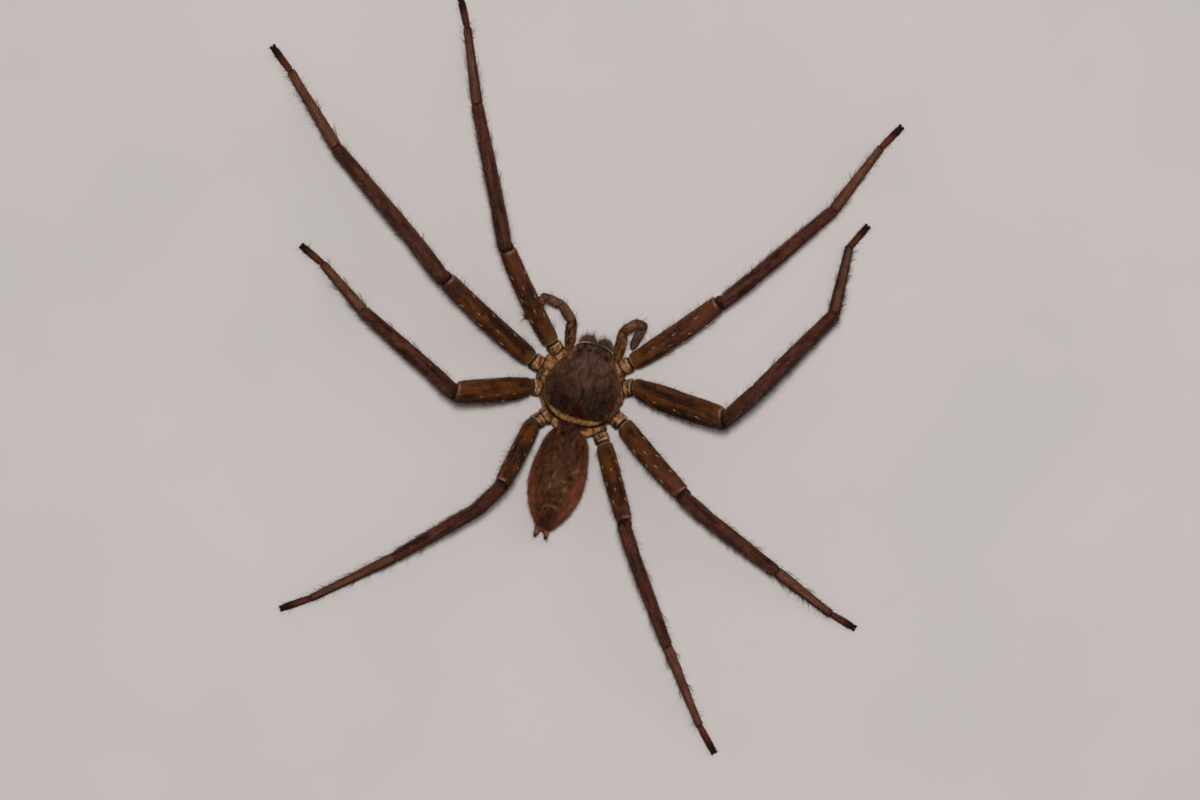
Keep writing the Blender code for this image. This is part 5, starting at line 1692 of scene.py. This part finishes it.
def grow(name, layers, seed):
    """A coat piece from layers of density and coat."""
    rng = np.random.default_rng(seed)
    places, tints, loops, sizes, spots = [], [], [], [], []
    first = 0
    for density, coat in layers:
        read = scatter(density, rng)
        count = len(read["triangle"])
        per_hair = len(coat.shape.patch)
        indices = np.concatenate(coat.shape.faces)
        patches = unwrap(read)[:, None, :] + np.array(coat.shape.patch) * PATCH_SIZE
        places.append(hair_points(read, coat, rng).reshape(-1, 3))
        tints.append(hair_tints(read, coat, rng).reshape(-1, 3))
        loops.append(((np.arange(count) * per_hair)[:, None] + indices).ravel() + first)
        sizes.append(np.tile([len(face) for face in coat.shape.faces], count))
        spots.append(patches[:, indices].reshape(-1, 2))
        first += count * per_hair
    parts = (places, tints, loops, sizes, spots)
    places, tints, loops, sizes, spots = [np.concatenate(part) for part in parts]
    places[:, 2] = np.clip(places[:, 2], HAIR_FLOOR, HAIR_CEILING)
    mesh = bpy.data.meshes.new(name)
    mesh.vertices.add(len(places))
    mesh.vertices.foreach_set("co", (places * MM).astype(np.float32).ravel())
    mesh.loops.add(len(loops))
    mesh.loops.foreach_set("vertex_index", loops.astype(np.int32))
    mesh.polygons.add(len(sizes))
    mesh.polygons.foreach_set("loop_start", np.concatenate([[0], np.cumsum(sizes)[:-1]]).astype(np.int32))
    mesh.polygons.foreach_set("use_smooth", np.ones(len(sizes), bool))
    mesh.uv_layers.new(name="OFBake").data.foreach_set("uv", spots.astype(np.float32).ravel())
    mesh.update(calc_edges=True)
    set_tint(mesh, tints)
    mesh.materials.append(hair)
    coat_piece = link(bpy.data.objects.new(name, mesh))
    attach(coat_piece, "root")
    triangles_used[name] = int((sizes - 2).sum())
    print(name, triangles_used[name], "triangles")


def density_of(table, shells=None):
    """Hairs per square mm for each triangle of the skin, from a table by zone."""
    density = np.zeros(len(areas))
    for title, value in table.items():
        density[triangle_zone == ZONE[title]] = value
    if shells is not None:
        inside = [number for number, title in enumerate(SHELLS) if title in shells]
        density[~np.isin(triangle_shell, inside)] = 0
    return density


print("hairs asked for on the jaws:", int((density_of({"jaw": 100}) * areas).sum()))

# %% [markdown]
# ## Eyes kept clear, and the face
# No hair grows over a lens. The fur of jaws and face points ahead and hangs over the fangs, while that
# of the dark strip under the eyes, a painted shadow, stands up, so both get a lie of their own.

# %% Clear the eyes and comb the face
BARE_SHARE = 0.85
in_body = (middles - np.array(BODY_AT)) @ np.array(BODY.to_3x3())
aside = np.abs(in_body[:, 0])
open_eyes = np.ones(len(areas))
for x, y, radius in EYES:
    away = np.hypot(aside - x, in_body[:, 1] - y)
    open_eyes[(away < radius * BARE_SHARE) & (in_body[:, 2] > 3.5)] = 0
facing = normals[corner].mean(axis=1) @ np.array(BODY.to_3x3() @ Vector((0, 1, 0)))
face = (in_body[:, 1] > 4.25) & (aside < 2.4) & (in_body[:, 2] > 2.3) & (facing > 0.35)
face &= (in_body[:, 2] < 4.05) & ~np.isin(triangle_zone, (ZONE["palp"], ZONE["jaw"], ZONE["clypeus"]))
forward = np.array(BODY.to_3x3() @ Vector((0, 1, 0.1)))
field["lie"][field["zone"] == ZONE["jaw"]] = forward
field["lie"][corner[face].ravel()] = forward
field["tint"][corner[face].ravel()] = JAW_BROWN
field["lie"][field["zone"] == ZONE["brow"]] = (0, 0, 1)
print("triangles kept bare round the eyes:", int((open_eyes == 0).sum()), "of the face:", int(face.sum()))

# %% [markdown]
# ## The legs' fur
# A leg has a dense short pile, a fringe of long hairs that is densest on one side, single bristles and a
# fine fuzz. Each of these is a layer with a density for every part of the leg. Tufts of fine hair end
# the feet.

# %% Grow the legs' fur
LEG_PILE = Coat(STRAIGHT, 0.42, 0.034, 15, 0.0, 0.18, 0.8, 1.25, 0.05, 0.0, 0.26)
HIP_PILE = Coat(STRAIGHT, 0.34, 0.030, 26, 0.0, 0.30, 0.8, 1.35, 0.10, 0.0, 0.26)
LEG_FRINGE = Coat(STRAIGHT, 1.25, 0.028, 50, 0.0, 0.16, 0.9, 1.6, 0.0, 0.0, 0.25, 0.04, 0.6)
HIND_FRINGE = Coat(STRAIGHT, 0.56, 0.034, 42, 0.0, 0.20, 0.9, 1.7, 0.0, 0.0, 0.35, 0.04, 0.9)
LEG_SETAE = Coat(BENT, 1.05, 0.030, 50, 0.14, 0.22, 0.7, 1.2, 0.0)
LEG_FUZZ = Coat(STRAIGHT, 0.36, 0.020, 40, 0.0, 0.35, 1.0, 1.6, 0.0, 0.0, 0.25, 0.04, 0.8)
BODY_FUZZ = Coat(STRAIGHT, 0.36, 0.016, 46, 0.0, 0.40, 1.1, 2.2, 0.0, 0.0, 0.25, 0.04, 0.6)
FOOT_BRUSH = Coat(STRAIGHT, 0.50, 0.034, 16, 0.0, 0.14, 0.8, 1.5, 0.0, 0.5)
PILE_DENSITY = {"femur": 84, "patella": 84, "tibia": 88, "metatarsus": 90, "tarsus": 110}
FUZZ_DENSITY = {"femur": 22, "patella": 22, "tibia": 22, "metatarsus": 22, "tarsus": 20, "coxa": 20,
                "trochanter": 20}
HIP_DENSITY = {"coxa": 90, "trochanter": 80, "rim": 6, "knob": 60}
FRINGE_DENSITY = {"femur": 4.0, "patella": 7.0, "tibia": 8.0, "metatarsus": 6.5, "tarsus": 2.0, "coxa": 0.6}
HIND_DENSITY = {"femur": 8, "patella": 75, "tibia": 75, "metatarsus": 14}
SETAE_DENSITY = {"femur": 0.6, "patella": 0.8, "tibia": 0.8, "metatarsus": 0.7}
# Which side of each leg carries the dense fringe, 1 behind and -1 in front, and how dense it is
FRINGE_SIDE = {"l1": 0.3, "l2": 1.0, "l3": 1.0, "l4": -0.6, "r1": -0.3, "r2": 1.3, "r3": 0.7, "r4": 0.3}
LEG_SEED = 100
for number, name in enumerate(LEGS):
    own = ("leg_" + name, "pad_" + name)
    hind = -field["flat"][corner[:, 0], 2] * side_of(name)
    hairy_side = np.clip(2.5 * hind * np.sign(FRINGE_SIDE[name]), 0, 1) * abs(FRINGE_SIDE[name])
    layers = [(density_of(PILE_DENSITY, own), LEG_PILE), (density_of(HIP_DENSITY, own), HIP_PILE),
              (density_of(FRINGE_DENSITY, own) * (0.5 + hairy_side), LEG_FRINGE),
              (density_of(HIND_DENSITY, own) * hairy_side, HIND_FRINGE),
              (density_of(SETAE_DENSITY, own), LEG_SETAE),
              (density_of(FUZZ_DENSITY, own), LEG_FUZZ), (density_of({"pad": 200}, own), FOOT_BRUSH)]
    grow("coat_leg_" + name, layers, LEG_SEED + number)

# %% [markdown]
# ## The fur of the body
# The shield's pile is so short and dense that it looks like felt. The abdomen's is softer and carries
# longer hairs, and between the jaws and the eyes hangs a fringe. The layers are the same kind as on the
# legs, with one piece for each part of the body.

# %% Grow the fur of shield, head, abdomen and feelers
SHIELD_PILE = Coat(STRAIGHT, 0.42, 0.028, 16, 0.0, 0.20, 0.8, 1.3, 0.05, 0.0, 0.24)
BAND_PILE = Coat(STRAIGHT, 0.30, 0.040, 20, 0.0, 0.2, 0.9, 1.2, 0.0, 0.0, 0.20)
HEAD_PILE = Coat(STRAIGHT, 0.34, 0.028, 20, 0.0, 0.24, 0.8, 1.3, 0.05, 0.0, 0.24)
ABDOMEN_PILE = Coat(STRAIGHT, 0.36, 0.028, 19, 0.0, 0.26, 0.8, 1.3, 0.05, 0.0, 0.24)
ABDOMEN_FRINGE = Coat(STRAIGHT, 0.85, 0.026, 40, 0.0, 0.25, 0.9, 2.1, 0.0, 0.0, 0.25)
PALP_PILE = Coat(STRAIGHT, 0.34, 0.032, 24, 0.0, 0.26, 0.8, 1.3, 0.08, 0.0, 0.26)
FACE_FRINGE = Coat(BENT, 0.72, 0.026, 25, 0.05, 0.30, 0.7, 1.5, 0.0, 0.75, 0.25, 0.04, 0.3)
MIDDLE_FRINGE = Coat(BENT, 1.85, 0.030, 25, 0.03, 0.20, 0.8, 1.2, 0.0, 0.85, 0.25, 0.04, 0.3)
FACE_SETAE = Coat(BENT, 1.60, 0.024, 25, 0.03, 0.30, 0.8, 1.4, 0.0, 0.80, 0.25, 0.04, 0.3)
# The middle of the face, and how far the dense fringe reaches from it
MIDDLE = (0.05, 0.75)
grow("coat_shield", [
    (density_of({"shield": 380, "band": 30}) * open_eyes, SHIELD_PILE),
    (density_of({"shield": 90}), BODY_FUZZ),
    (density_of({"band": 260}), BAND_PILE),
], 201)
grow("coat_head", [
    (density_of({"head": 380}) * open_eyes, HEAD_PILE),
    (density_of({"head": 60}) * open_eyes, BODY_FUZZ),
    (density_of({"brow": 300}) * (facing > 0.3) * open_eyes, HEAD_PILE),
    (density_of({"jaw": 100}), FACE_FRINGE),
    (density_of({"jaw": 12}), FACE_SETAE),
    (face * 110.0, FACE_FRINGE),
    (face * 300.0 * (np.abs(in_body[:, 0] - MIDDLE[0]) < MIDDLE[1]), MIDDLE_FRINGE),
], 202)
grow("coat_abdomen", [
    (density_of({"abdomen": 165, "spinneret": 60}), ABDOMEN_PILE),
    (density_of({"abdomen": 65}), BODY_FUZZ),
    (density_of({"abdomen": 13.0, "spinneret": 10}), ABDOMEN_FRINGE),
], 203)
grow("coat_palps", [
    (density_of({"palp": 170, "palp_tarsus": 220}), PALP_PILE),
    (density_of({"palp": 4, "palp_tarsus": 6}), LEG_FRINGE),
    (density_of({"sternum": 60, "flesh": 130}), HIP_PILE),
], 204)
print("triangles of the coat:", sum(triangles_used.values()))

# %% [markdown]
# ## Measure and finish
# The dressed spider is meant to keep the size of its solids. Both boxes are set side by side, and the
# dressed spider's box is printed.

# %% Set the sizes side by side and finish
plain = {"cad": [[float(v) for v in corner_] for corner_ in cad_box],
         "visual": [[float(v) for v in corner_] for corner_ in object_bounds()]}
print("visual box:", plain["visual"])
